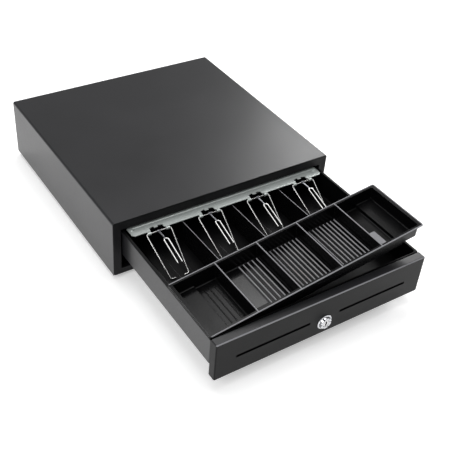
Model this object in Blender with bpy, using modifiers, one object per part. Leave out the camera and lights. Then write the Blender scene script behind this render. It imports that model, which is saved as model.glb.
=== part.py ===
"""Electronic cash drawer: steel case, telescopic slides, drawer with till, bill clips and coin tray.

Units are metres and +Z is up. The object stands on four feet at z = 0. The drawer is modelled
part way out, with the right-hand end of the coin tray lifted.
"""

import math

import bmesh
import bpy
from mathutils import Vector

# ---------------------------------------------------------------- driving dimensions
GAP = 0.0003            # clearance between pieces that touch
SHEET = 0.001           # steel sheet

CASE_W = 0.410
CASE_D = 0.400
CASE_H = 0.1045
CASE_FOLD_R = 0.0025    # outside radius of the cover's two long folds

FOOT_H = 0.008
FOOT_R = 0.011
FOOT_INSET_X = 0.031    # foot centre from the side of the case
FOOT_INSET_FRONT = 0.018
FOOT_INSET_BACK = 0.030
FOOT_SCREW_R = 0.002

FRAME_SIDE = 0.014      # width of the front frame's borders
FRAME_TOP = 0.0165
FRAME_BOTTOM = 0.011
FRAME_D = 0.012

FRONT_T = 0.014         # drawer front
FRONT_GAP_X = 0.00275   # between drawer front and frame
FRONT_GAP_Z = 0.0037
FRONT_PROUD = 0.002     # how far the closed drawer front stands out of the frame
FRONT_EDGE_R = 0.002

REAR_ROOM = 0.055       # from the closed drawer box to the back of the case
BOX_RISE = 0.0208       # underside of the box above the underside of the drawer front
BOX_TOP_DROP = 0.0028   # top of the side walls below the top of the drawer front

TILL_WALL = 0.002
TILL_SLACK = 0.001      # between till and steel box
TILL_RIM_T = 0.0015
TILL_RISE = 0.0058      # till floor above the steel box's floor
COIN_SECTION_D = 0.1125
DIVIDER_T = 0.0016
DIVIDER_SLOPE = 0.005   # fall of a bill divider's top edge towards the back
BILL_BAYS = 4

COIN_BAYS = 5
COIN_RIM_T = 0.0018
COIN_WALL = 0.0016
CHECK_SPACE = 0.0156    # under the coin tray, for what the media slots take
COIN_DRAFT = 0.0022     # how far a wall leans in from rim to floor
COIN_END_STEP_W = 0.030  # shallower part at each end
COIN_END_STEP_H = 0.0055
COIN_TILT = math.radians(8.0)

SLOT_H = 0.0046         # media slots
SLOT_FROM_CENTRE = 0.027
SLOT_FROM_SIDE = 0.0343
SLOT_ABOVE_BOX = 0.0110  # slot centre above the underside of the box

LOCK_ABOVE_FRONT = 0.0228  # lock axis above the underside of the drawer front
LOCK_BEZEL_R = 0.0127
LOCK_NUT_R = 0.0115
LOCK_BARREL_R = 0.0078
LOCK_PLUG_R = 0.0056
LOCK_PROUD = 0.005
LOCK_CAM_CLEAR = 0.0043  # end of the cam above the underside of the drawer front

OPENED = 0.267          # how far the drawer is pulled out
SLIDE_INSET = 0.060     # web of the outer slide member from the side of the case
SLIDE_H = 0.020         # outer member; the others nest inside it
SLIDE_GAUGE = 0.0012
SLIDE_RUN = 0.0015      # ball track between one member and the next
SLIDE_LIP = 0.009
SLIDE_START = 0.016
SLIDE_SEAT_W = 0.012    # flange under the drawer box
SLIDE_REAR_ROOM = 0.032

CLIP_PIVOT_BACK = 0.2445  # clip pivots behind the case front plane, drawer closed
CLIP_WIRE_R = 0.0011
CLIP_BELOW = 0.0020     # pivot wire's axis below the top of the bracket
CLIP_W_TOP = 0.043
CLIP_W_BOTTOM = 0.031
CLIP_REACH = 0.068      # pivot to the end of the legs, towards the front
CLIP_TOE = 0.008        # length of the bent ends of the legs
ARM_REACH = 0.066
ARM_STRIP_L = 0.021
ARM_DROP = 0.0125
ARM_WIRE_R = 0.0013
ARM_FORK_W = 0.0074
BRACKET_END = 0.0073    # bracket's end in from the side of the drawer box
BRACKET_D = 0.026
BRACKET_T = 0.0012

LATCH_TABLE_RISE = 0.0308  # top of the latch bracket above the base plate
LATCH_ARM = 0.0175      # latch pivot to the tooth
LATCH_TAIL = 0.012      # latch pivot to the plunger
PLUNGER_R = 0.005
COIL_R = 0.009
COIL_L = 0.033
LATCH_BACK = 0.027      # latch pivot behind the closed drawer box
LATCH_X = 0.010
EJECT_STROKE = 0.016
EJECTOR_X = 0.090
SWITCH_X = -0.100
REAR_GEAR_RISE = 0.020  # ejector and switch above the underside of the box
SOCKET_X = -0.130
SOCKET_W = 0.016
SOCKET_H = 0.014
SOCKET_RISE = 0.018     # above the underside of the case

# ---------------------------------------------------------------- levels and places
CASE_Z0 = FOOT_H
CASE_Z1 = CASE_Z0 + CASE_H
OPEN_HALF_W = CASE_W / 2 - FRAME_SIDE
OPEN_Z0 = CASE_Z0 + FRAME_BOTTOM
OPEN_Z1 = CASE_Z1 - FRAME_TOP
BASE_TOP = CASE_Z0 + SHEET
COVER_INNER = CASE_W / 2 - SHEET - GAP  # half width left for what fits inside the cover

FRONT_HALF_W = OPEN_HALF_W - FRONT_GAP_X
FRONT_Z0 = OPEN_Z0 + FRONT_GAP_Z
FRONT_Z1 = OPEN_Z1 - FRONT_GAP_Z
FRONT_BACK = FRONT_T - FRONT_PROUD

BOX_HALF_W = FRONT_HALF_W
BOX_Z0 = FRONT_Z0 + BOX_RISE
BOX_Z1 = FRONT_Z1 - BOX_TOP_DROP
BOX_FRONT = FRONT_BACK + GAP
BOX_BACK = CASE_D - REAR_ROOM

TILL_HALF_W = BOX_HALF_W - SHEET - TILL_SLACK
TILL_INNER = TILL_HALF_W - TILL_WALL
TILL_FRONT = BOX_FRONT + SHEET + TILL_SLACK
TILL_BACK = BOX_BACK - SHEET - TILL_SLACK
TILL_Z1 = BOX_Z1 + GAP + TILL_RIM_T
TILL_FLOOR = BOX_Z0 + SHEET + TILL_RISE
CROSS_WALL_BACK = TILL_FRONT + TILL_WALL + COIN_SECTION_D + TILL_WALL

TRAY_Z0 = TILL_Z1 + GAP              # underside of the seated tray's rim
TRAY_BOTTOM = TILL_FLOOR + CHECK_SPACE
TRAY_HALF_W = BOX_HALF_W
TRAY_FRONT = TILL_FRONT
TRAY_BACK = CROSS_WALL_BACK
TRAY_BODY_HALF_W = TILL_INNER - TILL_SLACK
TRAY_BODY_FRONT = TILL_FRONT + TILL_WALL + TILL_SLACK
TRAY_BODY_BACK = CROSS_WALL_BACK - TILL_WALL - TILL_SLACK

SLOT_W = FRONT_HALF_W - SLOT_FROM_CENTRE - SLOT_FROM_SIDE
SLOT_Z = BOX_Z0 + SLOT_ABOVE_BOX
LOCK_Z = FRONT_Z0 + LOCK_ABOVE_FRONT
SLIDE_L = CASE_D - SLIDE_START - SLIDE_REAR_ROOM
SLIDE_Z = BOX_Z0 - 4 * GAP - SLIDE_GAUGE / 2 - SLIDE_H / 2
CLIP_Z = TILL_Z1 + GAP + BRACKET_T - CLIP_BELOW
BAY_PITCH = 2 * TILL_INNER / BILL_BAYS
LATCH_TABLE_Z = BASE_TOP + LATCH_TABLE_RISE
LATCH_Z = LATCH_TABLE_Z + 2 * GAP + SHEET + COIL_R
LATCH_Y = BOX_BACK + LATCH_BACK

# The drawer's face and lock stand furthest forward and the case furthest back, and the origin
# is half way between them.
CASE_FRONT_Y = (OPENED + FRONT_PROUD + LOCK_PROUD - CASE_D) / 2

FINISHES = {
    "black_steel": ((0.030, 0.030, 0.032), 0.45, 0.0),
    "black_plastic": ((0.018, 0.018, 0.019), 0.35, 0.0),
    "zinc_plate": ((0.56, 0.60, 0.58), 0.40, 1.0),
    "bright_wire": ((0.80, 0.80, 0.80), 0.18, 1.0),
    "chrome": ((0.80, 0.80, 0.82), 0.10, 1.0),
    "rubber": ((0.020, 0.020, 0.020), 0.80, 0.0),
    "brass": ((0.70, 0.52, 0.25), 0.30, 1.0),
    "coil_tape": ((0.55, 0.40, 0.08), 0.55, 0.0),
}


# ---------------------------------------------------------------- helpers
def clear_scene():
    for old in list(bpy.data.objects):
        bpy.data.objects.remove(old, do_unlink=True)


def new_collection(name):
    collection = bpy.data.collections.new(name)
    bpy.context.scene.collection.children.link(collection)
    return collection


def finish(name):
    """One Principled material for each finish in the table."""
    if name in bpy.data.materials:
        return bpy.data.materials[name]
    colour, roughness, metallic = FINISHES[name]
    material = bpy.data.materials.new(name)
    material.use_nodes = True
    shader = material.node_tree.nodes["Principled BSDF"]
    shader.inputs["Base Color"].default_value = (*colour, 1.0)
    shader.inputs["Roughness"].default_value = roughness
    shader.inputs["Metallic"].default_value = metallic
    return material


def empty(name, location, parent=None):
    anchor = bpy.data.objects.new(name, None)
    anchor.location = location
    anchor.parent = parent
    PARTS.objects.link(anchor)
    return anchor


def part(name, mesh, material, parent, location=(0, 0, 0), rotation=(0, 0, 0)):
    """A named piece of the object, placed in its parent's frame."""
    piece = bpy.data.objects.new(name, mesh)
    piece.location = location
    piece.rotation_euler = rotation
    piece.parent = parent
    piece.data.materials.clear()
    piece.data.materials.append(finish(material))
    PARTS.objects.link(piece)
    return piece


def helper(piece):
    """Turn a piece into a hidden tool for a Boolean."""
    PARTS.objects.unlink(piece)
    CUTTERS.objects.link(piece)
    piece.hide_render = True
    piece.display_type = "WIRE"
    return piece


def mesh_from(bm, name):
    bmesh.ops.recalc_face_normals(bm, faces=bm.faces)
    mesh = bpy.data.meshes.new(name)
    bm.to_mesh(mesh)
    bm.free()
    return mesh


def box(name, low, high, material, parent):
    """A block between two corners given in the parent's frame."""
    low, high = Vector(low), Vector(high)
    bm = bmesh.new()
    bmesh.ops.create_cube(bm, size=1.0)
    bmesh.ops.scale(bm, vec=high - low, verts=bm.verts)
    return part(name, mesh_from(bm, name), material, parent, (low + high) / 2)


def tapered_box(name, low, high, draft, material, parent):
    """A block whose underside is smaller than its top by the draft on every side."""
    block = box(name, low, high, material, parent)
    for vertex in block.data.vertices:
        if vertex.co.z < 0:
            vertex.co.x -= math.copysign(draft, vertex.co.x)
            vertex.co.y -= math.copysign(draft, vertex.co.y)
    return block


def rod(name, radius, length, material, parent, centre, axis="Z", sides=24):
    """A plain cylinder about the point given, along X, Y or Z."""
    bm = bmesh.new()
    bmesh.ops.create_cone(bm, cap_ends=True, segments=sides, radius1=radius, radius2=radius, depth=length)
    turn = {"Z": (0, 0, 0), "X": (0, math.pi / 2, 0), "Y": (math.pi / 2, 0, 0)}[axis]
    return part(name, mesh_from(bm, name), material, parent, centre, turn)


def strip(name, points, length, material, parent, location, thickness=SHEET, turn=0.0):
    """Folded sheet: a line of (x, z) points at mid thickness, drawn out along +Y."""
    bm = bmesh.new()
    line = [bm.verts.new((x, 0.0, z)) for x, z in points]
    edges = [bm.edges.new(pair) for pair in zip(line, line[1:])]
    swept = bmesh.ops.extrude_edge_only(bm, edges=edges)["geom"]
    moved = [item for item in swept if isinstance(item, bmesh.types.BMVert)]
    bmesh.ops.translate(bm, vec=(0, length, 0), verts=moved)
    sheet = part(name, mesh_from(bm, name), material, parent, location, (0, 0, turn))
    solid = sheet.modifiers.new("sheet", "SOLIDIFY")
    solid.thickness = thickness
    solid.offset = 0.0
    solid.use_even_offset = True
    return sheet


def turned(name, profile, material, parent, location, axis="Z", sides=24, closed=False):
    """A lathe piece: (radius, height) points down its outer side, spun about its own Z.

    An open profile starts and ends on the axis; a closed one goes round a ring's section.
    """
    bm = bmesh.new()
    line = [bm.verts.new((r, 0.0, z)) for r, z in profile]
    for pair in zip(line, line[1:]):
        bm.edges.new(pair)
    if closed:
        bm.edges.new((line[-1], line[0]))
    mesh = bpy.data.meshes.new(name)
    bm.to_mesh(mesh)
    bm.free()
    turn = {"Z": (0, 0, 0), "X": (0, math.pi / 2, 0), "-Y": (math.pi / 2, 0, 0), "Y": (-math.pi / 2, 0, 0)}
    piece = part(name, mesh, material, parent, location, turn[axis])
    spin = piece.modifiers.new("turn", "SCREW")
    spin.angle = 2 * math.pi
    spin.steps = sides
    spin.render_steps = sides
    spin.use_merge_vertices = True
    spin.merge_threshold = 0.00002
    spin.use_smooth_shade = True
    return piece


def tube(name, points, radius, material, parent, location=(0, 0, 0), resolution=2):
    """A round wire or rod through the points."""
    curve = bpy.data.curves.new(name, "CURVE")
    curve.dimensions = "3D"
    curve.bevel_depth = radius
    curve.bevel_resolution = resolution
    curve.use_fill_caps = True
    line = curve.splines.new("POLY")
    line.points.add(len(points) - 1)
    for spot, place in zip(line.points, points):
        spot.co = (*place, 1.0)
    return part(name, curve, material, parent, location)


def outline(name, loops, thickness, material, parent, location):
    """A flat plate in XY with straight or round edges; loops after the first are holes."""
    curve = bpy.data.curves.new(name, "CURVE")
    curve.dimensions = "2D"
    curve.fill_mode = "BOTH"
    curve.extrude = thickness / 2
    for loop in loops:
        line = curve.splines.new("POLY")
        line.points.add(len(loop) - 1)
        for spot, place in zip(line.points, loop):
            spot.co = (*place, 0.0, 1.0)
        line.use_cyclic_u = True
    return part(name, curve, material, parent, location)


def as_mesh(piece):
    """A mesh copy of a curve piece, its caps welded on, so that a Boolean can use it."""
    bpy.context.view_layer.update()
    mesh = bpy.data.meshes.new_from_object(piece.evaluated_get(bpy.context.evaluated_depsgraph_get()))
    bm = bmesh.new()
    bm.from_mesh(mesh)
    bmesh.ops.remove_doubles(bm, verts=bm.verts, dist=0.00002)
    bm.to_mesh(mesh)
    bm.free()
    name, material = piece.name, piece.data.materials[0].name
    parent, place = piece.parent, piece.matrix_basis.copy()
    bpy.data.objects.remove(piece, do_unlink=True)
    solid = part(name, mesh, material, parent)
    solid.matrix_basis = place
    return solid


def boolean(piece, tool, operation):
    change = piece.modifiers.new(tool.name, "BOOLEAN")
    change.operation = operation
    change.object = helper(tool)
    change.solver = "EXACT"
    return piece


def cut(piece, tool):
    return boolean(piece, tool, "DIFFERENCE")


def add(piece, tool):
    return boolean(piece, tool, "UNION")


def round_edges(piece, width, segments=2):
    bevel = piece.modifiers.new("edges", "BEVEL")
    bevel.width = width
    bevel.segments = segments
    bevel.limit_method = "ANGLE"
    bevel.use_clamp_overlap = True
    return piece


def round_top(piece, radius):
    """Round the two top edges that run front to back, to sit inside the cover's folds."""
    bm = bmesh.new()
    bm.from_mesh(piece.data)
    edges = [edge for edge in bm.edges
             if all(v.co.z > 0 for v in edge.verts) and edge.verts[0].co.x == edge.verts[1].co.x]
    bmesh.ops.bevel(bm, geom=edges, offset=radius, segments=3, profile=0.5, affect="EDGES")
    bm.to_mesh(piece.data)
    bm.free()
    return piece


def smooth(piece, angle=35):
    piece.data.shade_smooth()
    piece.data.set_sharp_from_angle(angle=math.radians(angle))
    return piece


def arc(centre, radius, start, end, steps):
    """Points on an arc, angles in degrees."""
    spots = []
    for step in range(steps + 1):
        angle = math.radians(start + (end - start) * step / steps)
        spots.append((centre[0] + radius * math.cos(angle), centre[1] + radius * math.sin(angle)))
    return spots


def screw(name, parent, head, shank_r=0.0015, head_r=0.003, length=0.006, axis="Z"):
    """A pan-head screw: the point given is under its head, and its shank runs back from there."""
    head_h = head_r * 0.6
    profile = [(0, head_h), (head_r * 0.6, head_h), (head_r, head_h * 0.4), (head_r, 0),
               (shank_r, 0), (shank_r, -length), (0, -length)]
    return turned(name, profile, "bright_wire", parent, head, axis, sides=16)


# ---------------------------------------------------------------- case
def make_case():
    """Cover, front frame, base plate and back panel."""
    half, radius = CASE_W / 2 - SHEET / 2, CASE_FOLD_R - SHEET / 2
    top = CASE_Z1 - SHEET / 2
    left = arc((-half + radius, top - radius), radius, 180, 90, 3)
    right = arc((half - radius, top - radius), radius, 90, 0, 3)
    cover_line = [(-half, CASE_Z0), *left, *right, (half, CASE_Z0)]
    smooth(strip("top_cover", cover_line, CASE_D, "black_steel", CASE, (0, 0, 0)))

    frame_top = CASE_Z1 - SHEET - GAP
    skin = SHEET
    frame = box("front_frame", (-COVER_INNER, 0, CASE_Z0), (COVER_INNER, FRAME_D, frame_top),
                "black_steel", CASE)
    round_top(frame, CASE_FOLD_R)
    channel = box("frame_channel", (-COVER_INNER + SHEET, skin, CASE_Z0 + SHEET),
                  (COVER_INNER - SHEET, FRAME_D + skin, frame_top - SHEET), "black_steel", CASE)
    core = box("frame_core", (-OPEN_HALF_W - SHEET, 0, OPEN_Z0 - SHEET),
               (OPEN_HALF_W + SHEET, FRAME_D + 2 * skin, OPEN_Z1 + SHEET), "black_steel", CASE)
    mouth = box("frame_mouth", (-OPEN_HALF_W, -skin, OPEN_Z0),
                (OPEN_HALF_W, FRAME_D + skin, OPEN_Z1), "black_steel", CASE)
    cut(frame, cut(channel, core))
    cut(frame, mouth)

    flange = 0.012
    wall = COVER_INNER - SHEET / 2
    floor = CASE_Z0 + SHEET / 2
    base_line = [(-wall, floor + flange), (-wall, floor), (wall, floor), (wall, floor + flange)]
    base_front = FRAME_D + GAP
    base_back = CASE_D - SHEET - GAP
    base = strip("base_plate", base_line, base_back - base_front, "black_steel", CASE, (0, base_front, 0))
    for number, (x, y) in enumerate(foot_places(), 1):
        hole = rod(f"foot_hole_{number}", FOOT_SCREW_R + GAP, 0.02, "black_steel", CASE, (x, y, CASE_Z0))
        cut(base, hole)

    back = box("back_panel", (-COVER_INNER, CASE_D - SHEET, CASE_Z0), (COVER_INNER, CASE_D, frame_top),
               "black_steel", CASE)
    round_top(back, CASE_FOLD_R)
    low, high = socket_corners()
    port = box("socket_hole", (low[0] - GAP, CASE_D - 0.01, low[2] - GAP),
               (high[0] + GAP, CASE_D + 0.01, high[2] + GAP), "black_steel", CASE)
    cut(back, port)


def foot_places():
    """The four feet, seen from above."""
    side = CASE_W / 2 - FOOT_INSET_X
    return [(x, y) for y in (FOOT_INSET_FRONT, CASE_D - FOOT_INSET_BACK) for x in (-side, side)]


def make_feet():
    """Rubber feet, each held by a screw up through its recess."""
    recess_r, recess_h = 0.0046, 0.0040
    hole_r = FOOT_SCREW_R + GAP
    top = FOOT_H - GAP
    foot = [(FOOT_R - 0.0008, top), (FOOT_R, top - 0.0010), (FOOT_R * 0.9, 0.0014), (FOOT_R * 0.8, 0.0),
            (recess_r, 0.0), (recess_r, recess_h), (hole_r, recess_h), (hole_r, top)]
    for number, (x, y) in enumerate(foot_places(), 1):
        turned(f"foot_{number}", foot, "rubber", CASE, (x, y, 0), closed=True)
        head_r, head_h = recess_r - 0.0006, 0.0022
        seat, tip = recess_h - GAP, BASE_TOP + 0.003
        bolt = [(0, tip), (FOOT_SCREW_R, tip), (FOOT_SCREW_R, seat), (head_r, seat),
                (head_r, seat - head_h * 0.5), (head_r * 0.6, seat - head_h), (0, seat - head_h)]
        turned(f"foot_screw_{number}", bolt, "bright_wire", CASE, (x, y, 0), sides=16)


def socket_corners():
    """The signal socket's block, low on the left of the back panel."""
    low_z = CASE_Z0 + SOCKET_RISE
    return ((SOCKET_X - SOCKET_W / 2, CASE_D - 0.016, low_z),
            (SOCKET_X + SOCKET_W / 2, CASE_D, low_z + SOCKET_H))


def make_socket():
    low, high = socket_corners()
    block = box("signal_socket", low, high, "black_plastic", CASE)
    wall = 0.0025
    port = box("socket_port", (low[0] + wall, low[1] + 0.004, low[2] + wall),
               (high[0] - wall, high[1] + 0.004, high[2] - wall), "black_plastic", CASE)
    cut(block, port)
    start = Vector(((low[0] + high[0]) / 2, low[1] - GAP, (low[2] + high[2]) / 2))
    clear = CASE_D - 0.026
    floor = BASE_TOP + 0.0035
    route = [start, (start.x, start.y - 0.005, start.z - 0.001), (start.x + 0.003, clear, floor + 0.006),
             (start.x + 0.010, clear - 0.002, floor), (start.x + 0.025, clear, floor),
             (start.x + 0.040, clear + 0.004, floor), (start.x + 0.050, clear + 0.005, floor + 0.008),
             (start.x + 0.056, clear + 0.006, floor + 0.022),
             (start.x + 0.062, clear + 0.008, LATCH_Z - 0.004), (start.x + 0.070, clear + 0.010, LATCH_Z)]
    tube("solenoid_lead", smooth_path(route, 3), 0.0016, "rubber", CASE)


def smooth_path(points, steps):
    """Points on a smooth curve through the given ones."""
    spots = [Vector(p) for p in points]
    ends = [2 * spots[0] - spots[1], *spots, 2 * spots[-1] - spots[-2]]
    path = []
    for p0, p1, p2, p3 in zip(ends, ends[1:], ends[2:], ends[3:]):
        for step in range(steps):
            t = step / steps
            path.append(0.5 * (2 * p1 + (p2 - p0) * t + (2 * p0 - 5 * p1 + 4 * p2 - p3) * t * t
                               + (3 * p1 - p0 - 3 * p2 + p3) * t ** 3))
    return [*path, spots[-1]]


# ---------------------------------------------------------------- slides
def make_slides():
    """Left and right telescopic slides: outer, middle and inner members nested in each other."""
    step = SLIDE_GAUGE + SLIDE_RUN
    web = CASE_W / 2 - SLIDE_INSET
    for side, name in ((-1, "left"), (1, "right")):
        def member(kind, points, parent):
            """A folded member: (u, z) points, u being the distance in from the outer web."""
            across = [(side * (web - u), z) for u, z in points]
            strip(f"slide_{kind}_{name}", across, SLIDE_L, "zinc_plate", parent,
                  (0, SLIDE_START, 0), SLIDE_GAUGE)

        half = SLIDE_H / 2
        low, high = SLIDE_Z - half, SLIDE_Z + half
        member("outer", [(SLIDE_LIP, high), (0, high), (0, low), (SLIDE_LIP, low)], CASE)
        foot = BASE_TOP + GAP + SLIDE_GAUGE / 2
        ledge = low - SLIDE_GAUGE - GAP
        member("stand", [(-0.010, foot), (0, foot), (0, ledge), (SLIDE_LIP, ledge)], CASE)

        half -= step
        low, high, lip = SLIDE_Z - half, SLIDE_Z + half, step + SLIDE_LIP - SLIDE_RUN
        member("middle", [(lip, high), (step, high), (step, low), (lip, low)], MIDDLE)

        half -= step
        low, high, out = SLIDE_Z - half, SLIDE_Z + half, lip + SLIDE_RUN + SLIDE_GAUGE
        seat = BOX_Z0 - GAP - SLIDE_GAUGE / 2
        member("inner", [(2 * step, high), (2 * step, low), (out, low), (out, seat),
                         (out + SLIDE_SEAT_W, seat)], DRAWER)


# ---------------------------------------------------------------- drawer
def make_drawer_front():
    """Hollow steel front with two media slots and the lock hole."""
    deep = FRONT_BACK + 0.006
    front = box("drawer_front", (-FRONT_HALF_W, -FRONT_PROUD, FRONT_Z0), (FRONT_HALF_W, deep, FRONT_Z1),
                "black_steel", DRAWER)
    round_edges(front, FRONT_EDGE_R)
    rear = box("front_rear", (-FRONT_HALF_W - 0.01, FRONT_BACK, FRONT_Z0 - 0.01),
               (FRONT_HALF_W + 0.01, deep + 0.01, FRONT_Z1 + 0.01), "black_steel", DRAWER)
    skin = SHEET * 1.2
    hollow = box("front_hollow", (-FRONT_HALF_W + skin, -FRONT_PROUD + skin, FRONT_Z0 + skin),
                 (FRONT_HALF_W - skin, deep, FRONT_Z1 - skin), "black_steel", DRAWER)
    cut(front, rear)
    cut(front, hollow)
    cut(front, rod("lock_hole", LOCK_BARREL_R + GAP, 0.01, "black_steel", DRAWER,
                   (0, -FRONT_PROUD, LOCK_Z), "Y", 32))
    for name, cutter in slot_cutters("front", -FRONT_PROUD - 0.005, skin + 0.010):
        cut(front, cutter)
    smooth(front)


def slot_cutters(owner, start, length):
    """Both media slots as cutting blocks that start at the given y."""
    for side, name in ((-1, "left"), (1, "right")):
        near, far = sorted((side * SLOT_FROM_CENTRE, side * (SLOT_FROM_CENTRE + SLOT_W)))
        yield name, box(f"{owner}_slot_{name}", (near, start, SLOT_Z - SLOT_H / 2),
                        (far, start + length, SLOT_Z + SLOT_H / 2), "black_steel", DRAWER)


def make_drawer_box():
    """Open steel box, with the media slots carried through its front wall."""
    shell = box("drawer_box", (-BOX_HALF_W, BOX_FRONT, BOX_Z0), (BOX_HALF_W, BOX_BACK, BOX_Z1),
                "black_steel", DRAWER)
    room = box("box_room", (-BOX_HALF_W + SHEET, BOX_FRONT + SHEET, BOX_Z0 + SHEET),
               (BOX_HALF_W - SHEET, BOX_BACK - SHEET, BOX_Z1 + 0.01), "black_steel", DRAWER)
    cut(shell, room)
    for name, cutter in slot_cutters("box", BOX_FRONT - 0.003, SHEET + 0.006):
        cut(shell, cutter)


def make_till():
    """Moulded insert: bill section at the back, well for the coin tray at the front."""
    till = box("till_insert", (-TILL_HALF_W, TILL_FRONT, TILL_FLOOR - TILL_WALL),
               (TILL_HALF_W, TILL_BACK, TILL_Z1 - GAP), "black_plastic", DRAWER)
    rim = box("till_rim", (-BOX_HALF_W, TILL_FRONT, TILL_Z1 - TILL_RIM_T),
              (BOX_HALF_W, TILL_BACK, TILL_Z1), "black_plastic", DRAWER)
    well = box("coin_well", (-TILL_INNER, TILL_FRONT + TILL_WALL, TILL_FLOOR),
               (TILL_INNER, CROSS_WALL_BACK - TILL_WALL, TILL_Z1 + 0.01), "black_plastic", DRAWER)
    bills = box("bill_well", (-TILL_INNER, CROSS_WALL_BACK, TILL_FLOOR),
                (TILL_INNER, TILL_BACK - TILL_WALL, TILL_Z1 + 0.01), "black_plastic", DRAWER)
    add(till, rim)
    cut(till, well)
    cut(till, bills)
    for name, cutter in slot_cutters("till", TILL_FRONT - 0.003, TILL_WALL + 0.006):
        cut(till, cutter)


def make_bill_dividers():
    """Thin walls between the bill bays, lower at the back than at the front."""
    front, back = CROSS_WALL_BACK + GAP, TILL_BACK - TILL_WALL - GAP
    for number in range(1, BILL_BAYS):
        x = -TILL_INNER + number * BAY_PITCH
        wall = box(f"bill_divider_{number}", (x - DIVIDER_T / 2, front, TILL_FLOOR + GAP),
                   (x + DIVIDER_T / 2, back, TILL_Z1 - GAP), "black_plastic", DRAWER)
        for vertex in wall.data.vertices:
            if vertex.co.y > 0 and vertex.co.z > 0:
                vertex.co.z -= DIVIDER_SLOPE


def bay_centres():
    return [-TILL_INNER + (number + 0.5) * BAY_PITCH for number in range(BILL_BAYS)]


def make_clip_bracket():
    """Zinc plate over the bill section, with two pierced ears for each clip."""
    low_z = TILL_Z1 + GAP
    back = CLIP_PIVOT_BACK + BRACKET_D
    half = BOX_HALF_W - BRACKET_END
    plate = box("clip_bracket", (-half, CLIP_PIVOT_BACK + 0.003, low_z), (half, back, low_z + BRACKET_T),
                "zinc_plate", DRAWER)
    ear_w, ear_r = 0.006, CLIP_WIRE_R + GAP + 0.0012
    for bay, centre in enumerate(bay_centres(), 1):
        for side in (-1, 1):
            x = centre + side * (CLIP_W_TOP / 2 - 0.008)
            ear = box(f"bracket_ear_{bay}_{side}", (x - ear_w / 2, CLIP_PIVOT_BACK - ear_r, CLIP_Z - ear_r),
                      (x + ear_w / 2, CLIP_PIVOT_BACK + 0.005, low_z + BRACKET_T), "zinc_plate", DRAWER)
            add(plate, ear)
        room = box(f"bracket_room_{bay}", (centre - 0.0065, CLIP_PIVOT_BACK - 0.01, low_z - 0.01),
                   (centre + 0.0065, CLIP_PIVOT_BACK + 0.0065, low_z + 0.01), "zinc_plate", DRAWER)
        cut(plate, room)
        bore = rod(f"bracket_bore_{bay}", CLIP_WIRE_R + GAP, CLIP_W_TOP, "zinc_plate", DRAWER,
                   (centre, CLIP_PIVOT_BACK, CLIP_Z), "X", 12)
        cut(plate, bore)
    screw_x = half - 0.006
    screw_y = back - 0.008
    for side, name in ((-1, "left"), (1, "right")):
        hole = rod(f"bracket_hole_{name}", 0.0015 + GAP, 0.01, "zinc_plate", DRAWER,
                   (side * screw_x, screw_y, low_z), "Z", 16)
        cut(plate, hole)
        screw(f"bracket_screw_{name}", DRAWER, (side * screw_x, screw_y, low_z + BRACKET_T + GAP),
              length=BRACKET_T + GAP, head_r=0.0028)


def make_bill_clip(number, centre):
    """One clip: a bent wire bail on the pivot line, and the sprung arm inside it."""
    pivot = empty(f"clip_pivot_{number}", (centre, CLIP_PIVOT_BACK, CLIP_Z), DRAWER)
    floor = TILL_FLOOR + 0.0006 + CLIP_WIRE_R - CLIP_Z
    top, bottom, end = CLIP_W_TOP / 2, CLIP_W_BOTTOM / 2, -CLIP_REACH
    bend = 0.0022
    half = [(0.0, 0.0, 0.0), (top - bend, 0.0, 0.0), (top - bend * 0.3, -bend * 0.3, -bend * 0.15),
            (top, -bend, -bend * 0.55), (bottom + bend * 0.1, end + bend, floor + bend * 0.55),
            (bottom - bend * 0.4, end + bend * 0.2, floor), (bottom - CLIP_TOE, end, floor)]
    wire = [(-x, y, z) for x, y, z in reversed(half[1:])] + half
    tube(f"clip_wire_{number}", wire, CLIP_WIRE_R, "bright_wire", pivot)

    inner_r, outer_r, width = CLIP_WIRE_R + GAP, CLIP_WIRE_R + GAP + 0.0008, 0.007
    ring = [(outer_r, width / 2), (outer_r, -width / 2), (inner_r, -width / 2), (inner_r, width / 2)]
    arm = turned(f"clip_arm_{number}", ring, "bright_wire", pivot, (0, 0, 0), "X", 12, closed=True)
    root, thin = -inner_r - 0.0003, 0.0008
    apex = -ARM_STRIP_L
    strip_line = outline(f"clip_strip_{number}", [[(-width / 2, root), (width / 2, root), (0.0015, apex),
                                                   (-0.0015, apex)]], thin, "bright_wire", pivot, (0, 0, 0))
    fork_half = ARM_FORK_W / 2
    hoop = [(x, y, 0.0) for x, y in arc((0, apex + 0.0005 - fork_half), fork_half, 0, 180, 6)]
    tine_end = (-ARM_REACH, -ARM_DROP)
    fork_line = [(fork_half, *tine_end), *hoop, (-fork_half, *tine_end)]
    fork = tube(f"clip_fork_{number}", fork_line, ARM_WIRE_R, "bright_wire", pivot)
    add(arm, as_mesh(strip_line))
    add(arm, as_mesh(fork))


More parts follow.
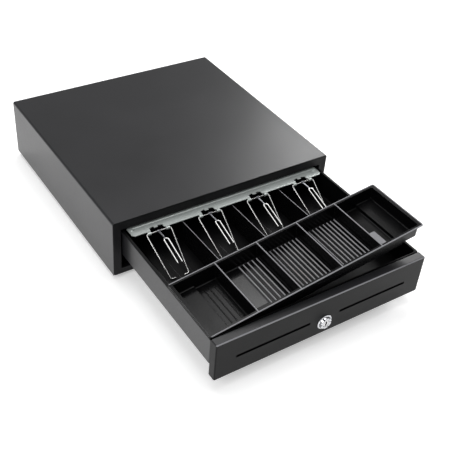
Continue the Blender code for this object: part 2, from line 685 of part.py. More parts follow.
# ---------------------------------------------------------------- coin tray
def make_coin_tray():
    """Removable tray, hinged for the lifting motion at the left end of its rim."""
    pivot = empty("coin_tray_pivot", (-TRAY_HALF_W, 0, TRAY_Z0), DRAWER)
    pivot.rotation_euler = (0, -COIN_TILT, 0)
    shift = Vector((TRAY_HALF_W, 0, -TRAY_Z0))

    def block(name, low, high, draft=0.0):
        return tapered_box(name, Vector(low) + shift, Vector(high) + shift, draft, "black_plastic", pivot)

    rim_top = TRAY_Z0 + COIN_RIM_T
    bottom = TRAY_BOTTOM
    tray = block("coin_tray", (-TRAY_HALF_W, TRAY_FRONT, TRAY_Z0), (TRAY_HALF_W, TRAY_BACK, rim_top))
    body = block("coin_body", (-TRAY_BODY_HALF_W, TRAY_BODY_FRONT, bottom),
                 (TRAY_BODY_HALF_W, TRAY_BODY_BACK, TRAY_Z0 + COIN_RIM_T / 2), COIN_DRAFT)
    add(tray, body)
    for side in (-1, 1):
        near, far = sorted((side * (TRAY_BODY_HALF_W - COIN_END_STEP_W), side * (TRAY_BODY_HALF_W + 0.01)))
        cut(tray, block(f"coin_step_{side}", (near, TRAY_FRONT - 0.01, bottom - 0.01),
                        (far, TRAY_BACK + 0.01, bottom + COIN_END_STEP_H)))
    inner = TRAY_BODY_HALF_W - COIN_WALL
    pitch = (2 * inner + COIN_WALL) / COIN_BAYS
    for bay in range(COIN_BAYS):
        low_x = -inner + bay * pitch
        high_x = low_x + pitch - COIN_WALL
        floor = bottom + COIN_WALL
        ends = (COIN_END_STEP_W if bay == 0 else 0, COIN_END_STEP_W if bay == COIN_BAYS - 1 else 0)
        deep_low = (low_x + ends[0], TRAY_BODY_FRONT + COIN_WALL, floor)
        deep_high = (high_x - ends[1], TRAY_BODY_BACK - COIN_WALL, rim_top + 0.005)
        cut(tray, block(f"coin_pocket_{bay + 1}", deep_low, deep_high, COIN_DRAFT))
        if any(ends):
            cut(tray, block(f"coin_shelf_{bay + 1}", (low_x, deep_low[1], floor + COIN_END_STEP_H),
                            (high_x, deep_high[1], rim_top + 0.005), COIN_DRAFT))


# ---------------------------------------------------------------- lock
def make_lock():
    """Keyed lock: fixed barrel, turning plug with its cam, and the nut behind the front."""
    face = -FRONT_PROUD
    shaft = 0.0118           # barrel length behind the face
    bore = LOCK_PLUG_R + GAP
    end = 0.004 - shaft
    barrel = [(LOCK_BEZEL_R * 0.78, LOCK_PROUD), (LOCK_BEZEL_R, LOCK_PROUD * 0.35), (LOCK_BEZEL_R, GAP),
              (LOCK_BARREL_R, GAP), (LOCK_BARREL_R, end), (bore, end), (bore, LOCK_PROUD)]
    turned("lock_barrel", barrel, "chrome", DRAWER, (0, face, LOCK_Z), "-Y", 32, closed=True)
    behind = SHEET * 1.2 + GAP
    nut_t = 0.003
    nut_y = face + behind + nut_t / 2
    nut = rod("lock_nut", LOCK_NUT_R, nut_t, "brass", DRAWER, (0, nut_y, LOCK_Z), "Y", 6)
    cut(nut, rod("lock_nut_bore", LOCK_BARREL_R + GAP, 2 * nut_t, "brass", DRAWER,
                 (0, nut_y, LOCK_Z), "Y", 32))

    pivot = empty("lock_pivot", (0, face, LOCK_Z), DRAWER)
    front = LOCK_PROUD - 0.0003
    plug_back = end - GAP
    plug = rod("lock_plug", LOCK_PLUG_R, front - plug_back, "chrome", pivot,
               (0, -(front + plug_back) / 2, 0), "Y", 32)
    cut(plug, box("keyway", (-0.0006, -front - 0.001, -0.0035), (0.0006, -front + 0.005, 0.0035),
                  "chrome", pivot))
    cam_y = -plug_back + GAP
    cam_end = LOCK_CAM_CLEAR - LOCK_ABOVE_FRONT
    box("lock_cam", (-0.0045, cam_y, cam_end), (0.0045, cam_y + 0.0018, 0.0055), "zinc_plate", pivot)


# ---------------------------------------------------------------- release mechanism
def make_latch():
    """Bracket, solenoid, plunger and hooked lever behind the drawer."""
    reach_left, reach_right = -0.055, 0.035
    table_front, table_back = LATCH_Y - 0.018, CASE_D - SHEET - 0.004
    top = LATCH_TABLE_Z - SHEET / 2
    leg_end = BASE_TOP + GAP
    table = [(reach_left, leg_end), (reach_left, top), (reach_right, top), (reach_right, leg_end)]
    strip("latch_bracket", table, table_back - table_front, "zinc_plate", CASE, (0, table_front, 0))

    plate_t = 0.002
    pin_r = 0.0020
    low = LATCH_TABLE_Z + GAP - LATCH_Z
    high = plate_t / 2 + 0.004
    post = [(0, high), (0.0034, high), (0.0034, plate_t / 2 + GAP), (pin_r, plate_t / 2 + GAP),
            (pin_r, -plate_t / 2 - GAP), (0.0034, -plate_t / 2 - GAP), (0.0034, low), (0, low)]
    turned("latch_post", post, "bright_wire", CASE, (LATCH_X, LATCH_Y, LATCH_Z), sides=16)

    hub = 0.006
    arm_half = 0.003
    tooth = LATCH_ARM + 0.004
    notch = 0.0019
    tail = LATCH_TAIL + 0.0025
    swing = [(arm_half, -tooth), (arm_half, -math.sqrt(hub ** 2 - arm_half ** 2)),
             *arc((0, 0), hub, -50, 50, 5), (0.0045, tail), (notch, tail), (notch, LATCH_TAIL - 0.0022),
             (-notch, LATCH_TAIL - 0.0022), (-notch, tail), (-0.0045, tail), *arc((0, 0), hub, 130, 230, 5),
             (-arm_half, -math.sqrt(hub ** 2 - arm_half ** 2)), (-arm_half, -LATCH_ARM),
             (-0.010, -LATCH_ARM), (-0.010, -tooth + 0.0015), (-0.0085, -tooth)]
    pivot = empty("latch_pivot", (LATCH_X, LATCH_Y, LATCH_Z), CASE)
    hole = arc((0, 0), pin_r + GAP, 0, 337.5, 15)
    outline("latch_lever", [swing, hole], plate_t, "zinc_plate", pivot, (0, 0, 0))

    axis_y = LATCH_Y + LATCH_TAIL
    coil_right = LATCH_X - 0.022
    coil_left = coil_right - COIL_L
    bore_r = PLUNGER_R + 2 * GAP
    coil = [(COIL_R, COIL_L / 2), (COIL_R, -COIL_L / 2), (bore_r, -COIL_L / 2), (bore_r, COIL_L / 2)]
    middle = (coil_left + coil_right) / 2
    turned("solenoid_coil", coil, "coil_tape", CASE, (middle, axis_y, LATCH_Z), "X", 24, closed=True)
    yoke_low, yoke_high = LATCH_TABLE_Z + GAP + SHEET / 2, LATCH_Z + COIL_R + SHEET / 2
    ends = (coil_left - GAP - SHEET / 2, coil_right + GAP + SHEET / 2)
    yoke_line = [(ends[0], yoke_high), (ends[0], yoke_low), (ends[1], yoke_low), (ends[1], yoke_high)]
    yoke = strip("solenoid_yoke", yoke_line, 2 * COIL_R, "zinc_plate", CASE, (0, axis_y - COIL_R, 0))
    cut(yoke, rod("yoke_bore", bore_r, 0.012, "zinc_plate", CASE, (ends[1], axis_y, LATCH_Z), "X"))

    plunger_left, plunger_right = coil_left + 0.0075, LATCH_X + 0.0065
    plunger = rod("solenoid_plunger", PLUNGER_R, plunger_right - plunger_left, "bright_wire", CASE,
                  ((plunger_left + plunger_right) / 2, axis_y, LATCH_Z), "X")
    slit_left = LATCH_X - 0.0095
    gap_half = plate_t / 2 + 0.0006
    cut(plunger, box("plunger_slit", (slit_left, axis_y - 0.01, LATCH_Z - gap_half),
                     (plunger_right + 0.005, axis_y + 0.01, LATCH_Z + gap_half), "bright_wire", CASE))
    add(plunger, rod("plunger_pin", 0.0012, 2 * PLUNGER_R - 0.002, "bright_wire", CASE,
                     (LATCH_X, axis_y, LATCH_Z), "Z", 12))


def make_strike():
    """Plate and pin on the back of the drawer that the lever's tooth holds."""
    back = BOX_BACK + GAP + SHEET / 2
    arm_z = LATCH_Z + 0.006
    pin_y = LATCH_Y - LATCH_ARM + 0.0030
    line = [(back, BOX_Z0 + 0.003), (back, arm_z), (pin_y + 0.003, arm_z)]
    pin_x = LATCH_X - 0.0065
    strip("strike_plate", line, 0.016, "zinc_plate", DRAWER, (pin_x + 0.008, 0, 0), turn=math.pi / 2)
    pin_top = arm_z - SHEET / 2 - GAP
    pin = [(0, pin_top), (0.002, pin_top), (0.002, LATCH_Z - 0.0035), (0.0014, LATCH_Z - 0.0042),
           (0, LATCH_Z - 0.0042)]
    turned("strike_pin", pin, "bright_wire", DRAWER, (pin_x, pin_y, 0), sides=16)


def make_ejector():
    """Spring-loaded pusher that starts the drawer outwards when the latch lets go."""
    x, z = EJECTOR_X, BOX_Z0 + REAR_GEAR_RISE
    rod_r = 0.003
    wall = CASE_D - SHEET - GAP
    tip = BOX_BACK + 0.0025
    guide = [(0, wall), (0.010, wall), (0.010, wall - 0.0015), (rod_r, wall - 0.0015),
             (rod_r, tip + 0.001), (rod_r - 0.001, tip), (0, tip)]
    turned("ejector_guide", guide, "zinc_plate", CASE, (x, 0, z), "Y")
    face = BOX_BACK + 0.001 - EJECT_STROKE
    bore = rod_r + GAP
    cup = [(bore, face + 0.026), (0.0048, face + 0.026), (0.0048, face + 0.003), (0.0095, face + 0.003),
           (0.0095, face + 0.0008), (0.0087, face), (bore, face)]
    turned("ejector_pusher", cup, "black_plastic", CASE, (x, 0, z), "Y", closed=True)
    start, end = face + 0.003 + 0.0012, wall - 0.0015 - 0.0012
    turns, per_turn, coil_r = 9, 10, 0.0067
    count = turns * per_turn
    coil = []
    for step in range(count + 1):
        angle = 2 * math.pi * step / per_turn
        coil.append((x + coil_r * math.cos(angle), start + (end - start) * step / count,
                     z + coil_r * math.sin(angle)))
    tube("eject_spring", coil, 0.0007, "bright_wire", CASE)


def make_switch():
    """Micro-switch that reports the drawer shut, with its sprung button."""
    x, z = SWITCH_X, BOX_Z0 + REAR_GEAR_RISE
    front, back = BOX_BACK + 0.006, CASE_D - SHEET - GAP
    body = box("switch_body", (x - 0.006, front, z - 0.008), (x + 0.006, back, z + 0.008),
               "black_plastic", CASE)
    room = 0.0018
    cut(body, box("switch_bore", (x - room, front - 0.002, z - room), (x + room, front + 0.012, z + room),
                  "black_plastic", CASE))
    fit = room - GAP
    box("switch_button", (x - fit, BOX_BACK - 0.002, z - fit), (x + fit, front + 0.007, z + fit),
        "rubber", CASE)


# ---------------------------------------------------------------- assembly
clear_scene()
PARTS = new_collection("cash_drawer")
CUTTERS = new_collection("cutters")
CASE = empty("case_origin", (0, CASE_FRONT_Y, 0))
MIDDLE = empty("middle_origin", (0, CASE_FRONT_Y - OPENED / 2, 0))
DRAWER = empty("drawer_origin", (0, CASE_FRONT_Y - OPENED, 0))

make_case()
make_feet()
make_socket()
make_slides()
make_drawer_front()
make_drawer_box()
make_till()
make_bill_dividers()
make_clip_bracket()
for clip_number, bay_centre in enumerate(bay_centres(), 1):
    make_bill_clip(clip_number, bay_centre)
make_coin_tray()
make_lock()
make_latch()
make_strike()
make_ejector()
make_switch()
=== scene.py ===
"""Electronic cash drawer: black steel case, open drawer, till with bill clips, lifted coin tray."""

import math

import bmesh
import bpy
from bpy.props import FloatProperty, FloatVectorProperty, IntProperty, PointerProperty
from mathutils import Matrix, Vector


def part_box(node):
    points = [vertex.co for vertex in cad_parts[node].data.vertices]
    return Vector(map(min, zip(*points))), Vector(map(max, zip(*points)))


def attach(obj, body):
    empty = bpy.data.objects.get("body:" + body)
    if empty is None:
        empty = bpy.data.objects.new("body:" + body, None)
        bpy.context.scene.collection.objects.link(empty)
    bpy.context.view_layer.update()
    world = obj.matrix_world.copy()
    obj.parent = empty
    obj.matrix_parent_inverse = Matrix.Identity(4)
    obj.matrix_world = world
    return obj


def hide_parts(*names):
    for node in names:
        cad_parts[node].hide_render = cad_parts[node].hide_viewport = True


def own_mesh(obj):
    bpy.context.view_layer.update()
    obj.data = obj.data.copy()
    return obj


bl_info = {
    "name": "Cash drawer",
    "version": (1, 0, 0),
    "blender": (4, 5, 0),
    "location": "View3D > Sidebar > Cash drawer",
    "description": "Builds the detailed pieces and finishes of an electronic cash drawer",
    "category": "Object",
}

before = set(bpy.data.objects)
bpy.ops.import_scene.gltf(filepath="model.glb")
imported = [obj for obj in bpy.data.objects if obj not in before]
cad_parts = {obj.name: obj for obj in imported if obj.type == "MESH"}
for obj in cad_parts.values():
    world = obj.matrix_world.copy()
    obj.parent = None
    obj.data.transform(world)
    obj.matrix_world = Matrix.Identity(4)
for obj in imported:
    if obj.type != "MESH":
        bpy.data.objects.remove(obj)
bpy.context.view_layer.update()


def box(name):
    """A CAD node's low and high corners."""
    return tuple(Vector(corner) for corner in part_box(name))


SHEET = 0.001           # steel sheet of case and drawer
GAP = 0.0003            # clearance between neighbouring pieces
TILL_WALL = 0.002       # floor and walls of the till's moulding
SLOT_ENDS = (0.027, 0.15395)    # ends of a media slot, out from the drawer's middle
SLOT_RISE = 0.0318      # middle of a media slot above the drawer front's lower edge
CENTRE = Vector((0.0, 0.0, 0.0))

CASE_LOW, CASE_HIGH = box("top_cover")
FRONT_LOW, FRONT_HIGH = box("drawer_front")
BOX_LOW, BOX_HIGH = box("drawer_box")
TILL_LOW, TILL_HIGH = box("till_insert")
BRACKET_LOW, BRACKET_HIGH = box("clip_bracket")
PLUG_LOW, PLUG_HIGH = box("lock_plug")
BARREL_LOW, BARREL_HIGH = box("lock_barrel")
DIVIDERS = [box(f"bill_divider_{number}") for number in (1, 2, 3)]


# ---------------------------------------------------------------- colours and nodes
def linear(code):
    """Linear RGB of an sRGB hex value."""
    parts = [int(code[i:i + 2], 16) / 255 for i in (1, 3, 5)]
    return tuple(c / 12.92 if c <= 0.04045 else ((c + 0.055) / 1.055) ** 2.4 for c in parts)


def add_node(tree, kind, inputs=None, **settings):
    """Add a node with its settings.

    An input takes a value, a node's output, a node (its first output), or a list of nodes that join there.
    """
    fresh = tree.nodes.new(kind)
    for key, value in settings.items():
        setattr(fresh, key, value)
    for key, value in (inputs or {}).items():
        for source in value if isinstance(value, list) else [value]:
            if isinstance(source, bpy.types.Node):
                source = source.outputs[0]
            if isinstance(source, bpy.types.NodeSocket):
                tree.links.new(source, fresh.inputs[key])
            else:
                fresh.inputs[key].default_value = source
    return fresh


def surface(name, colour, mottled, grain, depth, rough, stretch=(1.0, 1.0, 1.0), mottle_size=0.05,
            **constants):
    """A finish with fine grain in its relief, drifting tone and drifting roughness.

    Grain, depth and mottle_size are metres; rough is the roughness range; stretch draws the pattern out along
    an axis; constants go on the shader's sockets.
    """
    if name in bpy.data.materials:
        return bpy.data.materials[name]
    material = bpy.data.materials.new(name)
    material.use_nodes = True
    tree = material.node_tree
    shader = tree.nodes["Principled BSDF"]
    for key, value in constants.items():
        shader.inputs[key.replace("_", " ")].default_value = value
    place = add_node(tree, "ShaderNodeTexCoord").outputs["Object"]
    turned = add_node(tree, "ShaderNodeMapping", {"Vector": place, "Scale": stretch})
    fine = add_node(tree, "ShaderNodeTexNoise", {"Vector": turned, "Scale": 1 / grain, "Detail": 3.0})
    drift = add_node(tree, "ShaderNodeTexNoise", {"Vector": turned, "Scale": 1 / mottle_size, "Detail": 4.0})
    tone = add_node(tree, "ShaderNodeMix", {
        0: drift, 6: (*linear(colour), 1.0), 7: (*linear(mottled), 1.0)}, data_type="RGBA")
    blend = add_node(tree, "ShaderNodeMath", {0: fine, 1: drift}, operation="MULTIPLY")
    sheen = add_node(tree, "ShaderNodeMapRange", {
        "Value": blend, "From Min": 0.1, "From Max": 0.45, "To Min": rough[0], "To Max": rough[1]})
    relief = add_node(tree, "ShaderNodeBump", {"Height": fine, "Distance": depth, "Strength": 0.6})
    tree.links.new(tone.outputs[2], shader.inputs["Base Color"])
    tree.links.new(sheen.outputs[0], shader.inputs["Roughness"])
    tree.links.new(relief.outputs[0], shader.inputs["Normal"])
    return material


def powder_coat():
    # Semi-gloss black powder coat on steel: baked resin with a soft orange-peel skin, so
    # reflections spread wide and the tone drifts slightly over a large panel. The peel is
    # drawn at 1.1 mm, a little coarser than real, so that it shows.
    return surface("powder_coated_steel", "#161618", "#1c1c1f", 0.0011, 0.00006, (0.30, 0.38),
                   mottle_size=0.12)


def dark_coat():
    # The same coat inside the front frame, thinner and more matt, its base darker as painted shade in the
    # recessed mouth. It also paints the lock's notches and keyway black as painted shade in their hollows.
    return surface("matt_coated_steel", "#08080a", "#0c0c0e", 0.0011, 0.00006, (0.45, 0.6),
                   Specular_IOR_Level=0.2)


def face_coat():
    # Drawer face: black enamel over steel, smoother than the case and a little glossier.
    return surface("enamelled_steel", "#050506", "#080809", 0.0009, 0.00003, (0.32, 0.42),
                   Specular_IOR_Level=0.14)


def moulded_abs():
    # Injection-moulded black ABS: fine spark-eroded grain, soft satin reflections.
    return surface("moulded_abs", "#050506", "#080809", 0.0007, 0.00002, (0.20, 0.30), mottle_size=0.05,
                   Specular_IOR_Level=0.4)


def matt_abs():
    # The till's own moulding: the same plastic from an etched mould, duller than the tray.
    return surface("etched_abs", "#040405", "#070708", 0.0009, 0.00002, (0.40, 0.52), mottle_size=0.05,
                   Specular_IOR_Level=0.12)


def tray_abs():
    # Polished-mould ABS of the coin tray: glossier, with faint flow marks towards the walls.
    return surface("polished_abs", "#040405", "#070708", 0.0012, 0.000008, (0.20, 0.28), mottle_size=0.04,
                   Specular_IOR_Level=0.15)


def zinc():
    # Bright zinc plate with a pale passivated bloom; the rolled sheet's grain runs along it.
    return surface("zinc_plated_steel", "#c6ccca", "#a9b0ad", 0.0008, 0.00002, (0.28, 0.46), (0.15, 1.0, 1.0),
                   0.012, Metallic=0.6)


def nickel_wire():
    # Nickel-plated drawn wire: mirror-like with faint drawing lines along its length.
    return surface("nickel_plated_wire", "#d0d0cf", "#b8b8b6", 0.0005, 0.00001, (0.10, 0.22), (1.0, 0.1, 1.0),
                   0.01, Metallic=1.0)


def spring_steel():
    # Blued spring-steel strip: dark grey metal with a soft satin roll finish.
    return surface("spring_steel_strip", "#7c7d81", "#66676b", 0.0006, 0.00001, (0.25, 0.38), (1.0, 0.1, 1.0),
                   0.008, Metallic=1.0)


def chrome():
    # Decorative chrome over brass: near-mirror, with a few polishing swirls.
    return surface("polished_chrome", "#dcdde0", "#c9cace", 0.0006, 0.000005, (0.06, 0.16), mottle_size=0.006,
                   Metallic=1.0)


def satin_chrome():
    # Satin-finished plug face: fine turning lines that spread the light.
    return surface("satin_chrome", "#f0f0f1", "#dcdcde", 0.0005, 0.00001, (0.22, 0.32), mottle_size=0.004,
                   Metallic=0.45)


def edge_abs():
    # Rims, beads, divider tops and one floor pad: the same moulding, its paler colour a painted highlight for
    # the light these edges catch.
    return surface("worn_abs_edge", "#77777b", "#87878b", 0.0012, 0.000008, (0.28, 0.38), mottle_size=0.02)


def edge_enamel():
    # The drawer face's top fold: the same enamel, its pale colour a painted highlight along the fold.
    return surface("thin_enamel_edge", "#77777b", "#87878b", 0.0012, 0.000008, (0.28, 0.38), mottle_size=0.02)


def rib_abs():
    # The same moulding on the coin pockets' ribs, satin, its paler colour a painted highlight for the light
    # the ribs catch.
    return surface("rubbed_abs", "#8c8c8f", "#9a9a9d", 0.0012, 0.000008, (0.24, 0.34), mottle_size=0.02)


def rubber():
    # Moulded black rubber: dull, with a fine matt bloom.
    return surface("moulded_rubber", "#17171a", "#222225", 0.0006, 0.00008, (0.7, 0.9))


def brass():
    # Turned brass: warm metal with fine tool marks.
    return surface("turned_brass", "#c9a45a", "#b08a42", 0.0004, 0.00002, (0.2, 0.35), Metallic=1.0)


def gold_contact():
    # Flash-gold contact wires of the signal socket.
    return surface("gold_plated_contact", "#d8b25a", "#c49a40", 0.0005, 0.00001, (0.15, 0.25), Metallic=1.0)


def coil_tape():
    # Amber polyester tape wound over the solenoid's coil; its edges show as shallow bands.
    material = surface("polyester_tape", "#c89018", "#a87410", 0.0009, 0.00005, (0.35, 0.5))
    tree = material.node_tree
    if "bands" not in tree.nodes:
        place = add_node(tree, "ShaderNodeTexCoord").outputs["Object"]
        bands = add_node(tree, "ShaderNodeTexWave", {
            "Vector": place, "Scale": 60.0, "Distortion": 0.4}, name="bands")
        relief = add_node(tree, "ShaderNodeBump", {"Height": bands.outputs["Fac"], "Distance": 0.0002})
        tree.links.new(relief.outputs[0], tree.nodes["Principled BSDF"].inputs["Normal"])
    return material


# ---------------------------------------------------------------- mesh helpers
def rounded(x0, x1, y0, y1, r, steps=5):
    """A rectangle's outline with round corners, anticlockwise."""
    spots = []
    corners = ((x1 - r, y1 - r, 0), (x0 + r, y1 - r, 90), (x0 + r, y0 + r, 180), (x1 - r, y0 + r, 270))
    for cx, cy, turn in corners:
        for step in range(steps + 1):
            angle = math.radians(turn + 90 * step / steps)
            spots.append((cx + r * math.cos(angle), cy + r * math.sin(angle)))
    return spots


def loft(bm, rings, caps=True, loop=False):
    """Skin a row of rings that have the same number of points each."""
    rows = [[bm.verts.new(spot) for spot in ring] for ring in rings]
    pairs = list(zip(rows, rows[1:])) + ([(rows[-1], rows[0])] if loop else [])
    for low, high in pairs:
        for i in range(len(low)):
            j = (i + 1) % len(low)
            bm.faces.new((low[i], low[j], high[j], high[i]))
    if caps and not loop:
        bm.faces.new(list(reversed(rows[0])))
        bm.faces.new(rows[-1])
    return bm


def level(outline, z):
    """A flat outline at a height."""
    return [(x, y, z) for x, y in outline]


def upright(outline, y):
    """An (x, z) outline at a depth y."""
    return [(x, y, z) for x, z in outline]


def sideways(outline, x):
    """A (y, z) outline at a place x."""
    return [(x, y, z) for y, z in outline]


def bend(points, radius, steps=6):
    """A path with its corners rounded."""
    spots = [Vector(p) for p in points]
    path = [spots[0]]
    for before, corner, after in zip(spots, spots[1:], spots[2:]):
        reach_in = min(radius, (before - corner).length * 0.49)
        reach_out = min(radius, (after - corner).length * 0.49)
        start = corner + (before - corner).normalized() * reach_in
        end = corner + (after - corner).normalized() * reach_out
        for step in range(steps + 1):
            t = step / steps
            path.append(start * (1 - t) ** 2 + corner * 2 * t * (1 - t) + end * t * t)
    path.append(spots[-1])
    return path


def thick_line(points, thickness, radius):
    """The closed section of a folded sheet: (x, z) points at mid thickness, folds rounded."""
    path = bend([(x, 0, z) for x, z in points], radius)
    outer, inner = [], []
    for i, spot in enumerate(path):
        run = path[min(i + 1, len(path) - 1)] - path[max(i - 1, 0)]
        side = Vector((-run.z, 0, run.x)).normalized() * thickness / 2
        outer.append((spot.x + side.x, spot.z + side.z))
        inner.append((spot.x - side.x, spot.z - side.z))
    return outer + inner[::-1]


def sweep(bm, path, radius, sides=12, closed=False):
    """A round wire along a path, its ends domed unless the path closes on itself."""
    path = [Vector(p) for p in path]
    count = len(path)
    if closed:
        tangents = [(path[(i + 1) % count] - path[i - 1]).normalized() for i in range(count)]
    else:
        tangents = [(path[min(i + 1, count - 1)] - path[max(i - 1, 0)]).normalized() for i in range(count)]
    across = tangents[0].orthogonal().normalized()
    rings = []
    for i, (spot, run) in enumerate(zip(path, tangents)):
        across = (across - run * across.dot(run)).normalized()
        up = run.cross(across)
        sizes = [(0.0, 1.0)]
        if i == 0 and not closed:
            sizes = [(-0.9, 0.35), (-0.6, 0.8), (0.0, 1.0)]
        elif i == count - 1 and not closed:
            sizes = [(0.0, 1.0), (0.6, 0.8), (0.9, 0.35)]
        for along, wide in sizes:
            heart = spot + run * along * radius * 0.6
            turns = (2 * math.pi * k / sides for k in range(sides))
            rings.append([heart + (across * math.cos(a) + up * math.sin(a)) * radius * wide for a in turns])
    return loft(bm, rings, loop=closed)


def lathe(bm, profile, centre=CENTRE, sides=48, closed=False, scallop=None):
    """A turned shape about an upright axis; scallop(angle, radius) may change a radius."""
    rings = []
    for radius, height in profile:
        ring = []
        for k in range(sides):
            angle = 2 * math.pi * k / sides
            r = scallop(angle, radius) if scallop else radius
            ring.append((centre.x + r * math.cos(angle), centre.y + r * math.sin(angle), centre.z + height))
        rings.append(ring)
    loft(bm, rings, caps=not closed, loop=closed)
    bmesh.ops.remove_doubles(bm, verts=bm.verts, dist=1e-6)
    return bm


def block(bm, low, high, radius=0.0004, steps=3):
    """A block with its upright edges rounded."""
    outline = rounded(low[0], high[0], low[1], high[1], radius, steps)
    return loft(bm, [level(outline, low[2]), level(outline, high[2])])


def bowl(bm, low, high, draft, corner, fillet, steps=5):
    """A well's inside, as a solid for cutting: drafted walls and a filleted floor."""
    rings = []
    for step in range(steps + 1):
        angle = math.pi / 2 * step / steps
        inset = draft + fillet * (1 - math.sin(angle))
        z = low[2] + fillet * (1 - math.cos(angle))
        r = max(corner - inset + draft * 0.5, 0.0003)
        rings.append(level(rounded(low[0] + inset, high[0] - inset, low[1] + inset, high[1] - inset, r), z))
    rings.append(level(rounded(low[0], high[0], low[1], high[1], corner), high[2]))
    return loft(bm, rings)


def loose(name, shape):
    """A working object that holds a mesh or a bmesh."""
    if isinstance(shape, bmesh.types.BMesh):
        bmesh.ops.remove_doubles(shape, verts=shape.verts, dist=1e-6)
        bmesh.ops.recalc_face_normals(shape, faces=shape.faces)
        mesh = bpy.data.meshes.new(name)
        shape.to_mesh(mesh)
        shape.free()
        shape = mesh
    thing = bpy.data.objects.new(name, shape)
    bpy.context.scene.collection.objects.link(thing)
    return thing


def settle(thing):
    """Turn an object's modifiers into a plain mesh."""
    bpy.context.view_layer.update()
    mesh = bpy.data.meshes.new_from_object(thing.evaluated_get(bpy.context.evaluated_depsgraph_get()))
    thing.modifiers.clear()
    old, thing.data = thing.data, mesh
    bpy.data.meshes.remove(old)
    return mesh


def piece(name, shape, material, body, nodes=(), cuts=(), bevel=0.0, segments=2, smooth=38.0,
          accents=(), place=None):
    """Finish a piece: cut it, soften its edges, give it normals, finishes and a body.

    accents are more finishes, each with a test of the faces that take it; place turns the finished mesh.
    """
    tools = [loose(f"{name}_tool", cut) for cut in cuts]
    thing = loose(name, shape)
    for tool in tools:
        change = thing.modifiers.new("cut", "BOOLEAN")
        change.object, change.solver = tool, "EXACT"
    if bevel:
        edges = thing.modifiers.new("edges", "BEVEL")
        edges.width, edges.segments = bevel, segments
        edges.limit_method, edges.angle_limit = "ANGLE", math.radians(40)
        edges.use_clamp_overlap = True
    mesh = settle(thing)
    for tool in tools:
        bpy.data.objects.remove(tool, do_unlink=True)
    mesh.shade_smooth()
    mesh.set_sharp_from_angle(angle=math.radians(smooth))
    even = thing.modifiers.new("normals", "WEIGHTED_NORMAL")
    even.keep_sharp = True
    mesh = settle(thing)
    mesh.materials.clear()
    mesh.materials.append(material)
    for number, (finish, takes_it) in enumerate(accents, 1):
        mesh.materials.append(finish)
        for face in mesh.polygons:
            if takes_it(face):
                face.material_index = number
    if place:
        mesh.transform(place)
    mesh.name = name
    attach(thing, body)
    if nodes:
        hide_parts(*nodes)
    return thing


def merged(*shapes):
    """Several bmeshes or meshes in one bmesh."""
    whole = bmesh.new()
    for shape in shapes:
        mesh = shape
        if isinstance(shape, bmesh.types.BMesh):
            mesh = bpy.data.meshes.new("joined")
            shape.to_mesh(mesh)
            shape.free()
        whole.from_mesh(mesh)
        bpy.data.meshes.remove(mesh)
    return whole


def moved(bm, matrix):
    """A bmesh, turned and shifted."""
    bmesh.ops.transform(bm, matrix=matrix, verts=bm.verts)
    return bm


# ---------------------------------------------------------------- geometry nodes
def new_tree(name, **kinds):
    """A geometry tree and its given inputs; kinds names each input with its kind of socket."""
    tree = bpy.data.node_groups.new(name, "GeometryNodeTree")
    tree.interface.new_socket("Geometry", in_out="INPUT", socket_type="NodeSocketGeometry")
    for label, kind in kinds.items():
        tree.interface.new_socket(label.replace("_", " "), in_out="INPUT", socket_type=f"NodeSocket{kind}")
    tree.interface.new_socket("Geometry", in_out="OUTPUT", socket_type="NodeSocketGeometry")
    return tree, add_node(tree, "NodeGroupInput").outputs


def close_tree(tree, geometry, material):
    """Realize the instances, set the finish and close the tree."""
    real = add_node(tree, "GeometryNodeRealizeInstances", {0: geometry})
    coated = add_node(tree, "GeometryNodeSetMaterial", {"Geometry": real, "Material": material})
    add_node(tree, "NodeGroupOutput", {0: coated})
    return tree


def rib_row(name):
    """A row of low half-round ribs, each running front to back."""
    tree, given = new_tree(name, Count="Int", Pitch="Float", Length="Float", Width="Float", Height="Float",
                           Start="Vector", Finish="Material")
    pitch = add_node(tree, "ShaderNodeCombineXYZ", {"X": given["Pitch"]})
    line = add_node(tree, "GeometryNodeMeshLine", {
        "Count": given["Count"], "Start Location": given["Start"], "Offset": pitch})
    half = add_node(tree, "ShaderNodeMath", {0: given["Width"], 1: 0.5}, operation="MULTIPLY")
    bar = add_node(tree, "GeometryNodeMeshCylinder", {
        "Vertices": 8, "Radius": half, "Depth": given["Length"]})
    laid = add_node(tree, "GeometryNodeTransform", {
        "Geometry": bar, "Rotation": (math.pi / 2, math.pi / 8, 0)})
    flat = add_node(tree, "ShaderNodeMath", {0: given["Height"], 1: half}, operation="DIVIDE")
    scale = add_node(tree, "ShaderNodeCombineXYZ", {"X": 1.0, "Y": 1.0, "Z": flat})
    low = add_node(tree, "GeometryNodeTransform", {"Geometry": laid, "Scale": scale})
    row = add_node(tree, "GeometryNodeInstanceOnPoints", {"Points": line, "Instance": low})
    return close_tree(tree, row, given["Finish"])


